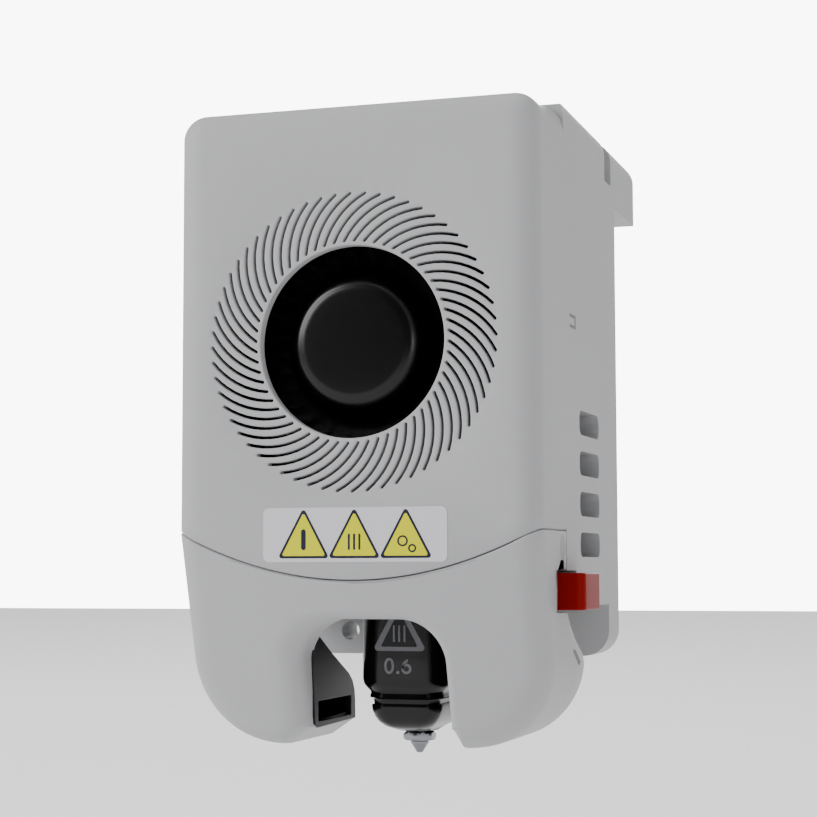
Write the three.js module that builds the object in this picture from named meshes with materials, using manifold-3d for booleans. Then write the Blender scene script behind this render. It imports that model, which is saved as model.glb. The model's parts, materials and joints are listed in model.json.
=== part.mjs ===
// Print head of a 3-D printer: case, part-cooling blower, extruder, filament cutter and hotend.
// Millimetres. X to the right, Y to the back, Z up. The origin lies on the flat back face that
// bolts to the printer's carriage, at the height of the blower's axis.
import * as THREE from 'three';
import { mergeVertices } from 'three/addons/utils/BufferGeometryUtils.js';
import Module from 'manifold-3d';

const wasm = await Module();
wasm.setup();

// Driving dimensions
const halfWidth = 33;
const bodyDepth = 66.5;
const coverTop = 42.2;
const housingTop = 46;
const cornerRadius = 4.5;
const frontFillet = 4;
const wall = 2.2;
const coverDepth = 20.2;
const seamLow = -41.15;
const seamCurve = 0.008;
const seamGap = 0.3;
const chinSlope = 0.3;
const openingRadius = 16.7;
const slitCount = 60;
const slitInnerRadius = 17.6;
const slitOuterRadius = 25.85;
const slitArcRadius = 14.5;
const slitArcCentre = 15.63;
const slitFirstAngle = 47.2;
const slitHalfWidth = 0.28;
const housingFront = 20.7;
const housingWall = 4;
const backWallFront = 57;
const backWallInside = 63.5;
const housingBottom = -46;
const tailBottom = -56;
const hookDepth = 20.5;
const roofRamp = [[12.5, 42.2], [20.7, 44], [24.7, 44.9], [28.9, 45.55], [33, 46]]; // depth, height
const roofFade = 34;
const hookBottom = 33;
const hotendX = 2.5;
const hotendDepth = 31.5;
const driveX = 7.9;
const driveZ = 14;
const gearModule = 0.5;
const spurTeeth = 36;
const pinionTeeth = 12;
const ringTeeth = 18;
const ringModule = 0.6;
const pinchTip = 0.22; // low teeth, so that the idler arm can swing out of mesh
const filamentRadius = 0.875;
const runGap = 0.05;
const joinGap = 0.05;

// Depth behind the front face, turned into Y
const at = (depth) => depth - bodyDepth;

// Materials
const finish = (color, roughness, metalness) =>
  new THREE.MeshStandardMaterial({ color, roughness, metalness });
const greyPlastic = finish(0xaeaeb0, 0.6, 0);
const blackPlastic = finish(0x101012, 0.4, 0);
const redPlastic = finish(0x9a1412, 0.35, 0);
const labelFilm = finish(0xc6c6c9, 0.5, 0);
const steel = finish(0xb4b6ba, 0.3, 1);
const aluminium = finish(0xc3c6ca, 0.4, 1);
const brass = finish(0xb08d45, 0.35, 1);
const copper = finish(0xb06a3c, 0.5, 1);
const magnetBlack = finish(0x2b2b2e, 0.6, 0.2);
const boardGreen = finish(0x1c5a38, 0.55, 0);
const socketWhite = finish(0xe6e4dc, 0.5, 0);
const liquidSilicone = finish(0x0c0c0d, 0.45, 0);
const clearTube = finish(0xe8eaec, 0.4, 0);

const head = new THREE.Group();

// Closed geometry to manifold: merge corners, drop collapsed triangles, face outwards
function solid(source) {
  const bare = source.clone();
  bare.deleteAttribute('normal');
  bare.deleteAttribute('uv');
  const merged = mergeVertices(bare, 1e-4);
  const corners = merged.attributes.position.array;
  const kept = [];
  const index = merged.index.array;
  for (let i = 0; i < index.length; i += 3) {
    const [a, b, c] = [index[i], index[i + 1], index[i + 2]];
    if (a !== b && b !== c && c !== a) {
      kept.push(a, b, c);
    }
  }
  const build = (triangles) => new wasm.Manifold(new wasm.Mesh({
    numProp: 3,
    vertProperties: new Float32Array(corners),
    triVerts: new Uint32Array(triangles),
  }));
  return signedVolume(corners, kept) > 0 ? build(kept) : build(kept.reverse());
}

function signedVolume(corners, triangles) {
  const [a, b, c] = [new THREE.Vector3(), new THREE.Vector3(), new THREE.Vector3()];
  let six = 0;
  for (let i = 0; i < triangles.length; i += 3) {
    a.fromArray(corners, triangles[i] * 3);
    b.fromArray(corners, triangles[i + 1] * 3);
    c.fromArray(corners, triangles[i + 2] * 3);
    six += a.dot(b.cross(c));
  }
  return six;
}

// Named mesh from a finished manifold
function add(name, body, material) {
  const mesh = body.getMesh();
  const geometry = new THREE.BufferGeometry();
  geometry.setAttribute('position', new THREE.BufferAttribute(new Float32Array(mesh.vertProperties), 3));
  geometry.setIndex(new THREE.BufferAttribute(new Uint32Array(mesh.triVerts), 1));
  geometry.computeVertexNormals();
  const part = new THREE.Mesh(geometry, material);
  part.name = name;
  head.add(part);
  return part;
}

const joined = (...bodies) => bodies.reduce((whole, body) => whole.add(body));
const cut = (body, ...tools) => tools.reduce((whole, tool) => whole.subtract(tool), body);

// Block between two corners
function block(x0, x1, y0, y1, z0, z1) {
  const box = new THREE.BoxGeometry(x1 - x0, y1 - y0, z1 - z0);
  box.translate((x0 + x1) / 2, (y0 + y1) / 2, (z0 + z1) / 2);
  return solid(box);
}

// Rods along the three axes
function rodY(radius, y0, y1, x, z, sides = 24) {
  const rod = new THREE.CylinderGeometry(radius, radius, y1 - y0, sides);
  rod.translate(x, (y0 + y1) / 2, z);
  return solid(rod);
}

function rodX(radius, x0, x1, y, z, sides = 24) {
  const rod = new THREE.CylinderGeometry(radius, radius, x1 - x0, sides);
  rod.rotateZ(Math.PI / 2);
  rod.translate((x0 + x1) / 2, y, z);
  return solid(rod);
}

function rodZ(radius, z0, z1, x, y, sides = 24) {
  const rod = new THREE.CylinderGeometry(radius, radius, z1 - z0, sides);
  rod.rotateX(Math.PI / 2);
  rod.translate(x, y, (z0 + z1) / 2);
  return solid(rod);
}

// Turned pieces: profile of [radius, height] points, closed on the axis or on itself
function turned(profile, sides) {
  return new THREE.LatheGeometry(profile.map(([r, h]) => new THREE.Vector2(r, h)), sides);
}

function turnedY(profile, x, z, sides = 32) {
  const geometry = turned(profile, sides);
  geometry.translate(x, 0, z);
  return solid(geometry);
}

function turnedZ(profile, x, y, sides = 24) {
  const geometry = turned(profile, sides);
  geometry.rotateX(Math.PI / 2);
  geometry.translate(x, y, 0);
  return solid(geometry);
}

// Slabs: an outline drawn in two axes and carried along the third
function slabY(outline, y0, y1, curveSegments = 6) {
  const slab = new THREE.ExtrudeGeometry(outline, { depth: y1 - y0, bevelEnabled: false, curveSegments });
  slab.rotateX(Math.PI / 2);
  slab.translate(0, y1, 0);
  return solid(slab);
}

function slabZ(outline, z0, z1, curveSegments = 6) {
  const slab = new THREE.ExtrudeGeometry(outline, { depth: z1 - z0, bevelEnabled: false, curveSegments });
  slab.translate(0, 0, z0);
  return solid(slab);
}

const yzToXyz = new THREE.Matrix4().makeBasis(
  new THREE.Vector3(0, 1, 0),
  new THREE.Vector3(0, 0, 1),
  new THREE.Vector3(1, 0, 0),
);

function slabX(outline, x0, x1, curveSegments = 6) {
  const slab = new THREE.ExtrudeGeometry(outline, { depth: x1 - x0, bevelEnabled: false, curveSegments });
  slab.applyMatrix4(yzToXyz);
  slab.translate(x0, 0, 0);
  return solid(slab);
}

function polygon(...points) {
  return new THREE.Shape(points.map(([u, v]) => new THREE.Vector2(u, v)));
}

function roundedBox2(u0, u1, v0, v1, r) {
  const outline = new THREE.Shape();
  outline.moveTo(u0 + r, v0);
  outline.lineTo(u1 - r, v0);
  outline.absarc(u1 - r, v0 + r, r, -Math.PI / 2, 0);
  outline.lineTo(u1, v1 - r);
  outline.absarc(u1 - r, v1 - r, r, 0, Math.PI / 2);
  outline.lineTo(u0 + r, v1);
  outline.absarc(u0 + r, v1 - r, r, Math.PI / 2, Math.PI);
  outline.lineTo(u0, v0 + r);
  outline.absarc(u0 + r, v0 + r, r, Math.PI, 1.5 * Math.PI);
  return outline;
}

// ---- Front cover and lower shroud: one rounded shell parted at a curved seam ----

const bottomZ = -70.8;
const bottomCornerStart = -56.5;
const bottomCornerInset = 19;

// Front outline of the case, drawn inset by the given amount
function caseOutline(inset) {
  const w = halfWidth - inset;
  const top = coverTop - inset;
  const bottom = bottomZ + inset;
  const r = cornerRadius - inset;
  const outline = new THREE.Shape();
  outline.moveTo(w, bottomCornerStart);
  outline.lineTo(w, top - r);
  outline.absarc(w - r, top - r, r, 0, Math.PI / 2);
  outline.lineTo(-w + r, top);
  outline.absarc(-w + r, top - r, r, Math.PI / 2, Math.PI);
  outline.lineTo(-w, bottomCornerStart);
  outline.bezierCurveTo(-w, -66 + inset, -25, -69 + inset, -w + bottomCornerInset, bottom);
  outline.lineTo(w - bottomCornerInset, bottom);
  outline.bezierCurveTo(25, -69 + inset, w, -66 + inset, w, bottomCornerStart);
  return outline;
}

// The outline carried back, with its front edge rounded
function caseBlock(inset, fillet) {
  const reach = 40;
  const shell = new THREE.ExtrudeGeometry(caseOutline(inset), {
    depth: reach,
    bevelEnabled: true,
    bevelThickness: fillet,
    bevelSize: fillet,
    bevelOffset: -fillet,
    bevelSegments: 3,
    curveSegments: 4,
  });
  shell.rotateX(Math.PI / 2);
  shell.translate(0, at(inset) + reach + fillet, 0);
  return solid(shell);
}

const caseOuter = caseBlock(0, frontFillet);
const caseInner = caseBlock(wall, frontFillet - wall);
const caseShell = caseOuter.subtract(caseInner);

// Everything above (or below) the seam's parabola
function seamSide(above, offset) {
  const reach = halfWidth + 6;
  const steps = 20;
  const points = [];
  for (let i = 0; i <= steps; i += 1) {
    const x = -reach + (2 * reach * i) / steps;
    points.push([x, seamLow + seamCurve * x * x + offset]);
  }
  const far = above ? 80 : -90;
  return polygon([-reach, far], ...points, [reach, far]);
}

// One curved slit: a thin band between two arcs about a centre off the blower's axis
function slitOutline(turn) {
  const direction = THREE.MathUtils.degToRad(slitFirstAngle + turn);
  const centre = new THREE.Vector2(Math.sin(direction), Math.cos(direction)).multiplyScalar(slitArcCentre);
  const angleAt = (radius) => {
    const cosine = (radius ** 2 + slitArcCentre ** 2 - slitArcRadius ** 2) / (2 * radius * slitArcCentre);
    const bearing = direction - Math.acos(cosine);
    return Math.atan2(radius * Math.cos(bearing) - centre.y, radius * Math.sin(bearing) - centre.x);
  };
  const start = angleAt(slitInnerRadius);
  const end = angleAt(slitOuterRadius);
  const outline = new THREE.Shape();
  outline.absarc(centre.x, centre.y, slitArcRadius + slitHalfWidth, start, end, true);
  outline.absarc(centre.x, centre.y, slitArcRadius - slitHalfWidth, end, start, false);
  return outline;
}

function makeFrontCover() {
  const region = slabY(seamSide(true, seamGap / 2), at(-1), at(coverDepth));
  let cover = caseShell.intersect(region);
  cover = cut(cover, rodY(openingRadius, at(-1), at(6), 0, 0, 40));
  for (let i = 0; i < slitCount; i += 1) {
    cover = cover.subtract(slabY(slitOutline((360 / slitCount) * i), at(-1), at(4), 2));
  }
  // The roof rises towards the rear housing
  return cover.warp((v) => {
    const along = THREE.MathUtils.clamp((v[1] - at(roofRamp[0][0])) / (roofRamp[1][0] - roofRamp[0][0]), 0, 1);
    const share = THREE.MathUtils.clamp((v[2] - roofFade) / (coverTop - roofFade), 0, 1);
    v[2] += (roofRamp[1][1] - roofRamp[0][1]) * along * share;
  });
}

// Arch between the shroud's two legs, grown outwards by the given amount
function archOutline(grow) {
  const [left, right, top, r] = [-10.2 - grow, 13.7 + grow, -47.4 + grow, 7 + grow];
  const outline = new THREE.Shape();
  outline.moveTo(left, -80);
  outline.lineTo(right + 5, -80);
  outline.lineTo(right + 2.9, -66);
  outline.lineTo(right, top - r - 2);
  outline.absarc(right - r, top - r, r, 0, Math.PI / 2);
  outline.lineTo(left + r, top);
  outline.absarc(left + r, top - r, r, Math.PI / 2, Math.PI);
  return outline;
}

// Everything behind the leaning front: below the seam it goes back by chinSlope for each mm down
function behindChin(inset) {
  const reach = halfWidth + 6;
  const steps = 12;
  const points = [];
  for (let i = 0; i <= steps; i += 1) {
    const x = -reach + (2 * reach * i) / steps;
    points.push([x, at(inset) + chinSlope * (seamLow + seamCurve * x * x)]);
  }
  const prism = slabZ(polygon([reach, 60], [-reach, 60], ...points), -90, -20);
  return prism.transform([1, 0, 0, 0, 0, 1, 0, 0, 0, -chinSlope, 1, 0, 0, 0, 0, 1]);
}

function makeLowerShroud() {
  const side = polygon(
    [at(-1), -30],
    [at(20.4), -30],
    [at(20.4), -46.6],
    [at(23.4), -49.3],
    [at(33.8), -55],
    [at(34.6), -56.8],
    [at(34.6), -76],
    [at(-1), -76],
  );
  const kept = slabX(side, -40, 40).intersect(slabY(seamSide(false, -seamGap / 2), at(-2), at(40)));
  const archWall = slabY(archOutline(wall), at(0.4), at(5.3)).intersect(caseOuter);
  const chin = caseOuter.subtract(behindChin(wall));
  return cut(
    joined(caseShell, archWall, chin).intersect(kept).intersect(behindChin(0)),
    slabY(archOutline(0), at(-2), at(40)),
    block(28, 40, at(13.2), at(22), -46.6, -39.5),
  );
}

add('front_cover', makeFrontCover(), greyPlastic);
add('lower_shroud', makeLowerShroud(), greyPlastic);

// ---- Rear housing: side walls, top, back wall and hook in one moulding ----

const ventCentres = [-12.5, -19.93, -27.37, -34.8];

// Everything above the roof line, which climbs from the cover's height to the housing's
function aboveRoof(inset) {
  const line = roofRamp.slice(1).map(([depth, z]) => [at(depth), z - inset]);
  const [, end] = line[line.length - 1];
  return slabX(
    polygon([at(15), line[0][1]], ...line, [line[line.length - 1][0], end + 20], [at(15), end + 20]), -40, 40,
  );
}

function makeRearHousing() {
  const outer = slabY(roundedBox2(-halfWidth, halfWidth, -70, housingTop, 4), at(housingFront), 0, 4)
    .subtract(aboveRoof(0));
  const above = block(-40, 40, at(housingFront) - 1, 1, housingBottom, 60);
  const tail = slabY(roundedBox2(-halfWidth, halfWidth, tailBottom, 0, 5), at(backWallFront), 0, 4);
  const inside = block(
    -halfWidth + housingWall, halfWidth - housingWall,
    at(housingFront) - 1, at(backWallInside), -60, housingTop - 3,
  ).subtract(aboveRoof(2.8));
  const tailSolid = tail.intersect(block(-40, 40, -30, 1, -60, housingBottom + 3));
  const hookOuter = slabX(
    roundedBox2(-12, hookDepth, hookBottom, housingTop, 4), -halfWidth, halfWidth, 4,
  ).intersect(block(-40, 40, -6, 40, hookBottom - 1, 60));
  const hookFull = hookOuter.intersect(slabY(roundedBox2(-halfWidth, halfWidth, 0, housingTop, 4), -6, 30, 4))
    .add(block(-halfWidth, halfWidth, -2, hookDepth, hookBottom, hookBottom + 6));
  const hookPocket = block(-28, 28, 2.5, hookDepth - 4, hookBottom - 1, housingTop - 4);
  const shell = joined(cut(joined(outer.intersect(above), tail), inside), tailSolid);
  let housing = cut(
    shell.add(hookFull),
    hookPocket,
    rodZ(4.7, housingTop - 7, housingTop + 1, hotendX, at(hotendDepth)),
    block(28, 40, at(housingFront) - 1, at(28.4), -50, -39.5),
    block(-11, 11, -5, 1, -31.5, -20.5),
  );
  for (const side of [-1, 1]) {
    const [x0, x1] = side < 0 ? [-34, -28] : [28, 34];
    for (const z of ventCentres) {
      const vent = slabX(roundedBox2(at(32), at(49), z - 2.25, z + 2.25, 1.6), x0, x1, 2);
      housing = housing.subtract(vent);
    }
    const groove = side < 0 ? block(-34, -30, at(57), at(63), 37, 50) : block(30, 34, at(57), at(63), 37, 50);
    housing = cut(housing, groove, rodY(1.9, at(50), 1, side * 19.9, -51.4, 20));
  }
  return housing;
}

add('rear_housing', makeRearHousing(), greyPlastic);

// Inner plate between the blower and the extruder
function makeMidFrame() {
  const plate = slabY(roundedBox2(-28.6, 28.6, -30, 39, 3), at(18.4), at(20.4), 3);
  return cut(
    plate,
    rodY(1.3, at(18), at(21), -22.5, 22.5, 12),
    rodY(1.3, at(18), at(21), 22.5, 22.5, 12),
    slabY(roundedBox2(-14, 14, -27, -6, 3), at(18), at(21), 3),
  );
}

add('mid_frame', makeMidFrame(), blackPlastic);
add(
  'label_plate',
  slabY(roundedBox2(-16.05, 17.18, -37.94, -28.6, 1), at(-0.15), at(-0.02), 4),
  labelFilm,
);

// ---- Part-cooling blower ----

const scrollOuter = 29;
const scrollInner = 27.4;

function makeScroll() {
  const body = joined(
    rodY(scrollOuter, at(3), at(18), 0, 0, 32),
    block(-23, 23, at(3), at(18), -31, -15),
    rodY(2.9, at(13.6), at(18), -22.5, 22.5, 16),
    rodY(2.9, at(13.6), at(18), 22.5, 22.5, 16),
  );
  return cut(
    body,
    rodY(scrollInner, at(2), at(16.5), 0, 0, 32),
    block(-21.4, 21.4, at(2), at(16.5), -33, -15),
    rodY(1.3, at(13), at(19), -22.5, 22.5, 12),
    rodY(1.3, at(13), at(19), 22.5, 22.5, 12),
  );
}

add('blower_scroll', makeScroll(), blackPlastic);

const bladeCount = 22;

function makeImpeller() {
  const profile = [
    [0, 1.6], [9.3, 1.6], [10.9, 2.3], [11.9, 3.7], [12.2, 5.5], [13.5, 7.6], [16.5, 9],
    [24.8, 9.6], [24.8, 10.8], [16.5, 10.4], [12.3, 10.4], [12.3, 13.6], [10.95, 13.6],
    [10.95, 3.6], [2.4, 3.6], [2.4, 5.6], [1.02, 5.6], [1.02, 3], [0, 3],
  ].map(([r, depth]) => [r, at(depth)]);
  let wheel = turnedY(profile, 0, 0, 28);
  wheel = wheel.add(turnedY(
    [[23.9, at(3.6)], [24.9, at(3.6)], [24.9, at(4.8)], [23.9, at(4.8)], [23.9, at(3.6)]], 0, 0, 28,
  ));
  for (let i = 0; i < bladeCount; i += 1) {
    const blade = new THREE.BoxGeometry(7.4, 6, 0.7);
    blade.rotateY(THREE.MathUtils.degToRad(40));
    blade.translate(21.4, at(6.9), 0);
    blade.rotateY((2 * Math.PI * i) / bladeCount);
    wheel = wheel.add(solid(blade));
  }
  return wheel;
}

add('fan_impeller', makeImpeller(), blackPlastic);
add(
  'fan_magnet_ring',
  cut(rodY(10.85, at(4.2), at(12.6), 0, 0), rodY(9.5, at(4), at(13), 0, 0)),
  magnetBlack,
);
add('fan_shaft', rodY(1, at(3.1), at(16.3), 0, 0, 16), steel);
add(
  'fan_bearing',
  cut(rodY(2.9, at(6), at(16.45), 0, 0, 20), rodY(1 + runGap, at(5), at(17), 0, 0, 16)),
  brass,
);

function makeFanStator() {
  const poles = 6;
  let core = rodY(4.8, at(6.2), at(12.2), 0, 0);
  for (let i = 0; i < poles; i += 1) {
    const angle = (2 * Math.PI * i) / poles;
    const tooth = new THREE.BoxGeometry(8.6, 6, 2);
    tooth.translate(4.3, at(9.2), 0);
    tooth.rotateY(angle);
    const shoe = new THREE.BoxGeometry(1.2, 6, 5.4);
    shoe.translate(8.3, at(9.2), 0);
    shoe.rotateY(angle);
    core = joined(core, solid(tooth), solid(shoe));
  }
  return cut(core, rodY(2.95, at(5), at(13), 0, 0, 20));
}

add('fan_stator', makeFanStator(), copper);

// Cap screw along +Y: head at the front, shank behind it
function capScrewY(x, z, headFront, shankEnd, shankRadius = 1.2, headRadius = 2.2) {
  const headHeight = 1.7;
  return cut(
    joined(
      rodY(headRadius, headFront, headFront + headHeight, x, z, 16),
      rodY(shankRadius, headFront + headHeight - 0.2, shankEnd, x, z, 12),
    ),
    rodY(1.1, headFront - 1, headFront + 1, x, z, 6),
  );
}

add('blower_screw_left', capScrewY(-22.5, 22.5, at(11.85), at(20.4)), steel);
add('blower_screw_right', capScrewY(22.5, 22.5, at(11.85), at(20.4)), steel);

// ---- Air path: a duct in each leg, and the splitter above the arch ----

// Side profile of a duct's lower part
function ductSide(inset) {
  return polygon(
    [at(5.6 + inset), -47.8 + inset * -0.4],
    [at(12), -50.9 - inset],
    [at(29.9), -58.8 - inset],
    [at(33.3 - inset), -62.2 - inset * 0.5],
    [at(33.3 - inset), -68.4 + inset],
    [at(5.6 + inset), -68.4 + inset],
  );
}

const ductClear = caseBlock(wall + 0.3, 1.5);
const ductHollow = caseBlock(wall + 1.5, 0.6);

function makeDuct(legInner, legOuter, chimneyInner, chimneyOuter) {
  const [low, high] = [Math.min(legInner, legOuter), Math.max(legInner, legOuter)];
  const [near, far] = [Math.min(chimneyInner, chimneyOuter), Math.max(chimneyInner, chimneyOuter)];
  const outer = joined(
    slabX(ductSide(0), low, high),
    block(near, far, at(5.6), at(18), -60, -33),
  ).intersect(ductClear).intersect(behindChin(wall + 0.35));
  const hollow = joined(
    slabX(ductSide(1.2), low + 1.2, high - 1.2),
    block(near + 1.2, far - 1.2, at(6.8), at(16.8), -61, -32),
  ).intersect(ductHollow.add(block(-30, 30, at(6.8), at(16.8), -50, -30)))
    .intersect(behindChin(wall + 1.55));
  const towardsArch = Math.sign(legOuter - legInner);
  const window = towardsArch < 0
    ? block(legInner - 2, legInner + 1, at(13), at(31), -66.6, -62.3)
    : block(legInner - 1, legInner + 2, at(13), at(31), -66.6, -62.3);
  return cut(outer, hollow, window);
}

add('duct_left', makeDuct(-10.5, -30.2, -12.6, -24.8), blackPlastic);
add('duct_right', makeDuct(14.9, 30.2, 16, 24.8), blackPlastic);
add(
  'air_splitter',
  slabY(polygon([-12, -45], [15.4, -45], [15.4, -43.4], [2, -33.6], [-12, -43.4]), at(5.7), at(17.9)),
  blackPlastic,
);

// ---- Hotend ----

const hotY = at(hotendDepth);

function makeSleeve() {
  const outline = roundedBox2(hotendX - 8.3, hotendX + 8.3, at(19.2), at(43.8), 5);
  const body = new THREE.ExtrudeGeometry(outline, {
    depth: 22,
    bevelEnabled: true,
    bevelThickness: 9,
    bevelSize: 3.4,
    bevelOffset: -3.4,
    bevelSegments: 4,
    curveSegments: 5,
  });
  body.translate(0, 0, -60);
  return cut(
    solid(body).intersect(block(-20, 20, at(10), at(60), -80, -45.5)),
    block(hotendX - 5.7, hotendX + 5.7, at(21.9), at(41.1), -63.7, -40),
    rodZ(3.2, -72, -60, hotendX, hotY, 20),
  );
}

add('hotend_sleeve', makeSleeve(), liquidSilicone);
add(
  'nozzle',
  turnedZ(
    [
      [0.3, -72.8], [0.5, -72.8], [1.7, -71.1], [1.7, -70.7], [2.9, -70.3], [2.9, -64.2],
      [2.6, -64.2], [2.6, -58.3], [1, -58.3], [1, -71], [0.3, -71.9], [0.3, -72.8],
    ],
    hotendX, hotY, 18,
  ),
  steel,
);
add(
  'heater_block',
  cut(
    block(hotendX - 5.5, hotendX + 5.5, at(22.3), at(40.9), -63.4, -52),
    rodZ(2.65, -64, -51, hotendX, hotY, 16),
    rodX(3.05, -4, 9, at(37.5), -58.2, 16),
    rodX(1.55, -4, 9, at(25), -58.2, 14),
  ),
  copper,
);
add('heater_cartridge', rodX(3, hotendX - 5.4, hotendX + 5.4, at(37.5), -58.2, 16), steel);
add('thermistor', rodX(1.5, hotendX - 5.4, hotendX + 5.4, at(25), -58.2, 14), steel);
add(
  'heatbreak',
  turnedZ(
    [
      [1, -57.8], [2.6, -57.8], [2.6, -52.2], [1.45, -51.6], [1.45, -47.4], [3, -46.8], [3, -31],
      [1, -31], [1, -57.8],
    ],
    hotendX, hotY, 18,
  ),
  steel,
);

function makeHeatsink() {
  const fins = 8;
  const fin = (z) => block(hotendX - 9, hotendX + 9, at(22.6), at(40.6), z, z + 1.1);
  let sink = rodZ(4.8, -44, -13.2, hotendX, hotY, 12);
  for (let i = 0; i < fins; i += 1) {
    sink = sink.add(fin(-43 + i * 3.3));
  }
  sink = sink.add(block(-11.3, 17.5, at(27.6), at(36), -15.8, -13.2));
  return cut(
    sink,
    rodZ(3 + joinGap, -45, -30.9, hotendX, hotY, 18),
    rodZ(2.05, -32, -13, hotendX, hotY, 16),
    rodZ(1.3, -17, -12, -9.2, at(30), 12),
    rodZ(1.3, -17, -12, 14.5, at(30), 12),
  );
}

add('heatsink', makeHeatsink(), aluminium);
add(
  'hotend_bracket',
  cut(
    joined(
      block(-11.3, 18.5, at(20.6), at(42), -13, -10.2),
      block(14.2, 16, at(21.6), at(27.4), -28.6, -10.2),
    ),
    rodZ(2.3, -14, -9, hotendX, hotY, 16),
    rodZ(1.3, -14, -9, -9.2, at(30), 12),
    rodZ(1.3, -14, -9, 14.5, at(30), 12),
  ),
  blackPlastic,
);

function capScrewZ(x, y, headTop, shankEnd) {
  const headHeight = 1.6;
  return cut(
    joined(
      rodZ(2.1, headTop - headHeight, headTop, x, y, 16),
      rodZ(1.2, shankEnd, headTop - headHeight + 0.2, x, y, 12),
    ),
    rodZ(1, headTop - 0.9, headTop + 1, x, y, 6),
  );
}

add('hotend_screw_left', capScrewZ(-9.2, at(30), -8.55, -15.6), steel);
add('hotend_screw_right', capScrewZ(14.5, at(30), -8.55, -15.6), steel);
add(
  'liner_tube',
  cut(rodZ(2, -30.8, -8.3, hotendX, hotY, 16), rodZ(1, -31, -8, hotendX, hotY, 12)),
  clearTube,
);

// ---- Heatsink fan ----

const axialY = at(38);
const axialZ = -24;

add(
  'axial_fan_frame',
  cut(
    joined(
      cut(
        slabX(roundedBox2(axialY - 12.5, axialY + 12.5, axialZ - 12.5, axialZ + 12.5, 2), -21, -13, 3),
        rodX(11.8, -22, -12, axialY, axialZ),
      ),
      rodX(6, -21, -19.9, axialY, axialZ, 16),
      block(-21, -19.9, axialY - 12, axialY + 12, axialZ - 0.8, axialZ + 0.8),
      block(-21, -19.9, axialY - 0.8, axialY + 0.8, axialZ - 12, axialZ + 12),
    ),
    rodX(1.5, -22, -12, axialY - 10, axialZ + 10, 10),
    rodX(1.5, -22, -12, axialY + 10, axialZ - 10, 10),
  ),
  blackPlastic,
);

function makeAxialRotor() {
  const bladeTotal = 7;
  let rotor = cut(rodX(6.2, -18.6, -13.4, axialY, axialZ, 20), rodX(5.2, -19, -14.6, axialY, axialZ, 20));
  rotor = rotor.add(rodX(0.8, -18.6, -14, axialY, axialZ, 10));
  for (let i = 0; i < bladeTotal; i += 1) {
    const blade = new THREE.BoxGeometry(6.4, 0.7, 6);
    blade.rotateZ(THREE.MathUtils.degToRad(35));
    blade.translate(0, 0, 8.4);
    blade.rotateX((2 * Math.PI * i) / bladeTotal);
    blade.translate(-16.2, axialY, axialZ);
    rotor = rotor.add(solid(blade).subtract(rodX(5.6, -22, -12, axialY, axialZ, 20)));
  }
  return rotor;
}

add('axial_fan_rotor', makeAxialRotor(), blackPlastic);
add(
  'axial_fan_stator',
  cut(rodX(4.6, -19.8, -15.2, axialY, axialZ, 20), rodX(0.9, -19.9, -15, axialY, axialZ, 10)),
  copper,
);
add(
  'fan_bracket',
  cut(
    block(-24, -21.1, axialY - 13.5, axialY + 13.5, axialZ - 13.5, axialZ + 13.5),
    rodX(11.8, -25, -20, axialY, axialZ),
    rodX(1.3, -25, -20, axialY - 10, axialZ + 10, 10),
    rodX(1.3, -25, -20, axialY + 10, axialZ - 10, 10),
  ),
  blackPlastic,
);

function fanScrew(y, z) {
  return joined(rodX(2, -12.9, -11.6, y, z, 14), rodX(1.2, -23.8, -12.8, y, z, 10));
}

add('fan_screw_upper', fanScrew(axialY - 10, axialZ + 10), steel);
add('fan_screw_lower', fanScrew(axialY + 10, axialZ - 10), steel);

// ---- Extruder ----

const idlerX = driveX - 2 * (filamentRadius + 4.525);
const meshDistance = (gearModule * (spurTeeth + pinionTeeth)) / 2;
const motorX = driveX - meshDistance * Math.SQRT1_2;
const motorZ = driveZ + meshDistance * Math.SQRT1_2;
const axleRadius = 1.5;

// Gear outline with straight-flanked teeth; the first tooth points along the given angle
function gearOutline(teeth, module, firstAngle, tipShare) {
  const pitch = (module * teeth) / 2;
  const [tip, root] = [pitch + tipShare * module, pitch - 1.15 * module];
  const step = (2 * Math.PI) / teeth;
  const points = [];
  for (let i = 0; i < teeth; i += 1) {
    const middle = firstAngle + i * step;
    for (const [radius, share] of [[root, -0.31], [tip, -0.11], [tip, 0.11], [root, 0.31]]) {
      const angle = middle + share * step;
      points.push([radius * Math.cos(angle), radius * Math.sin(angle)]);
    }
  }
  return points;
}

function gearY(teeth, module, firstAngle, y0, y1, x, z, tipShare = 0.85) {
  const points = gearOutline(teeth, module, firstAngle, tipShare).map(([u, v]) => [u + x, v + z]);
  return slabY(polygon(...points), y0, y1);
}

const degrees = THREE.MathUtils.degToRad;

add(
  'spur_gear',
  cut(
    gearY(spurTeeth, gearModule, degrees(5), at(35), at(37.4), driveX, driveZ),
    rodY(axleRadius + 0.02, at(34), at(38), driveX, driveZ, 16),
  ),
  socketWhite,
);
add('drive_axle', rodY(axleRadius, at(23.2), at(39.3), driveX, driveZ, 16), steel);

function pinchGear(x, firstAngle, bore) {
  return cut(
    joined(
      gearY(ringTeeth, ringModule, firstAngle, at(27), at(29.3), x, driveZ, pinchTip),
      rodY(4.4, at(29.2), at(33.5), x, driveZ, 18),
    ),
    rodY(bore, at(26), at(34), x, driveZ, 16),
    turnedY(
      [[4.05, hotY], [4.6, hotY - 0.9], [4.6, hotY + 0.9], [4.05, hotY]], x, driveZ, 18,
    ),
  );
}

add('drive_gear', pinchGear(driveX, 0, axleRadius + 0.02), steel);
add('idler_gear', pinchGear(idlerX, degrees(10), axleRadius + runGap), steel);

function bearingY(y0, y1) {
  return cut(
    rodY(3.5, y0, y1, driveX, driveZ, 16),
    rodY(axleRadius + runGap, y0 - 1, y1 + 1, driveX, driveZ, 16),
  );
}

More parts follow.
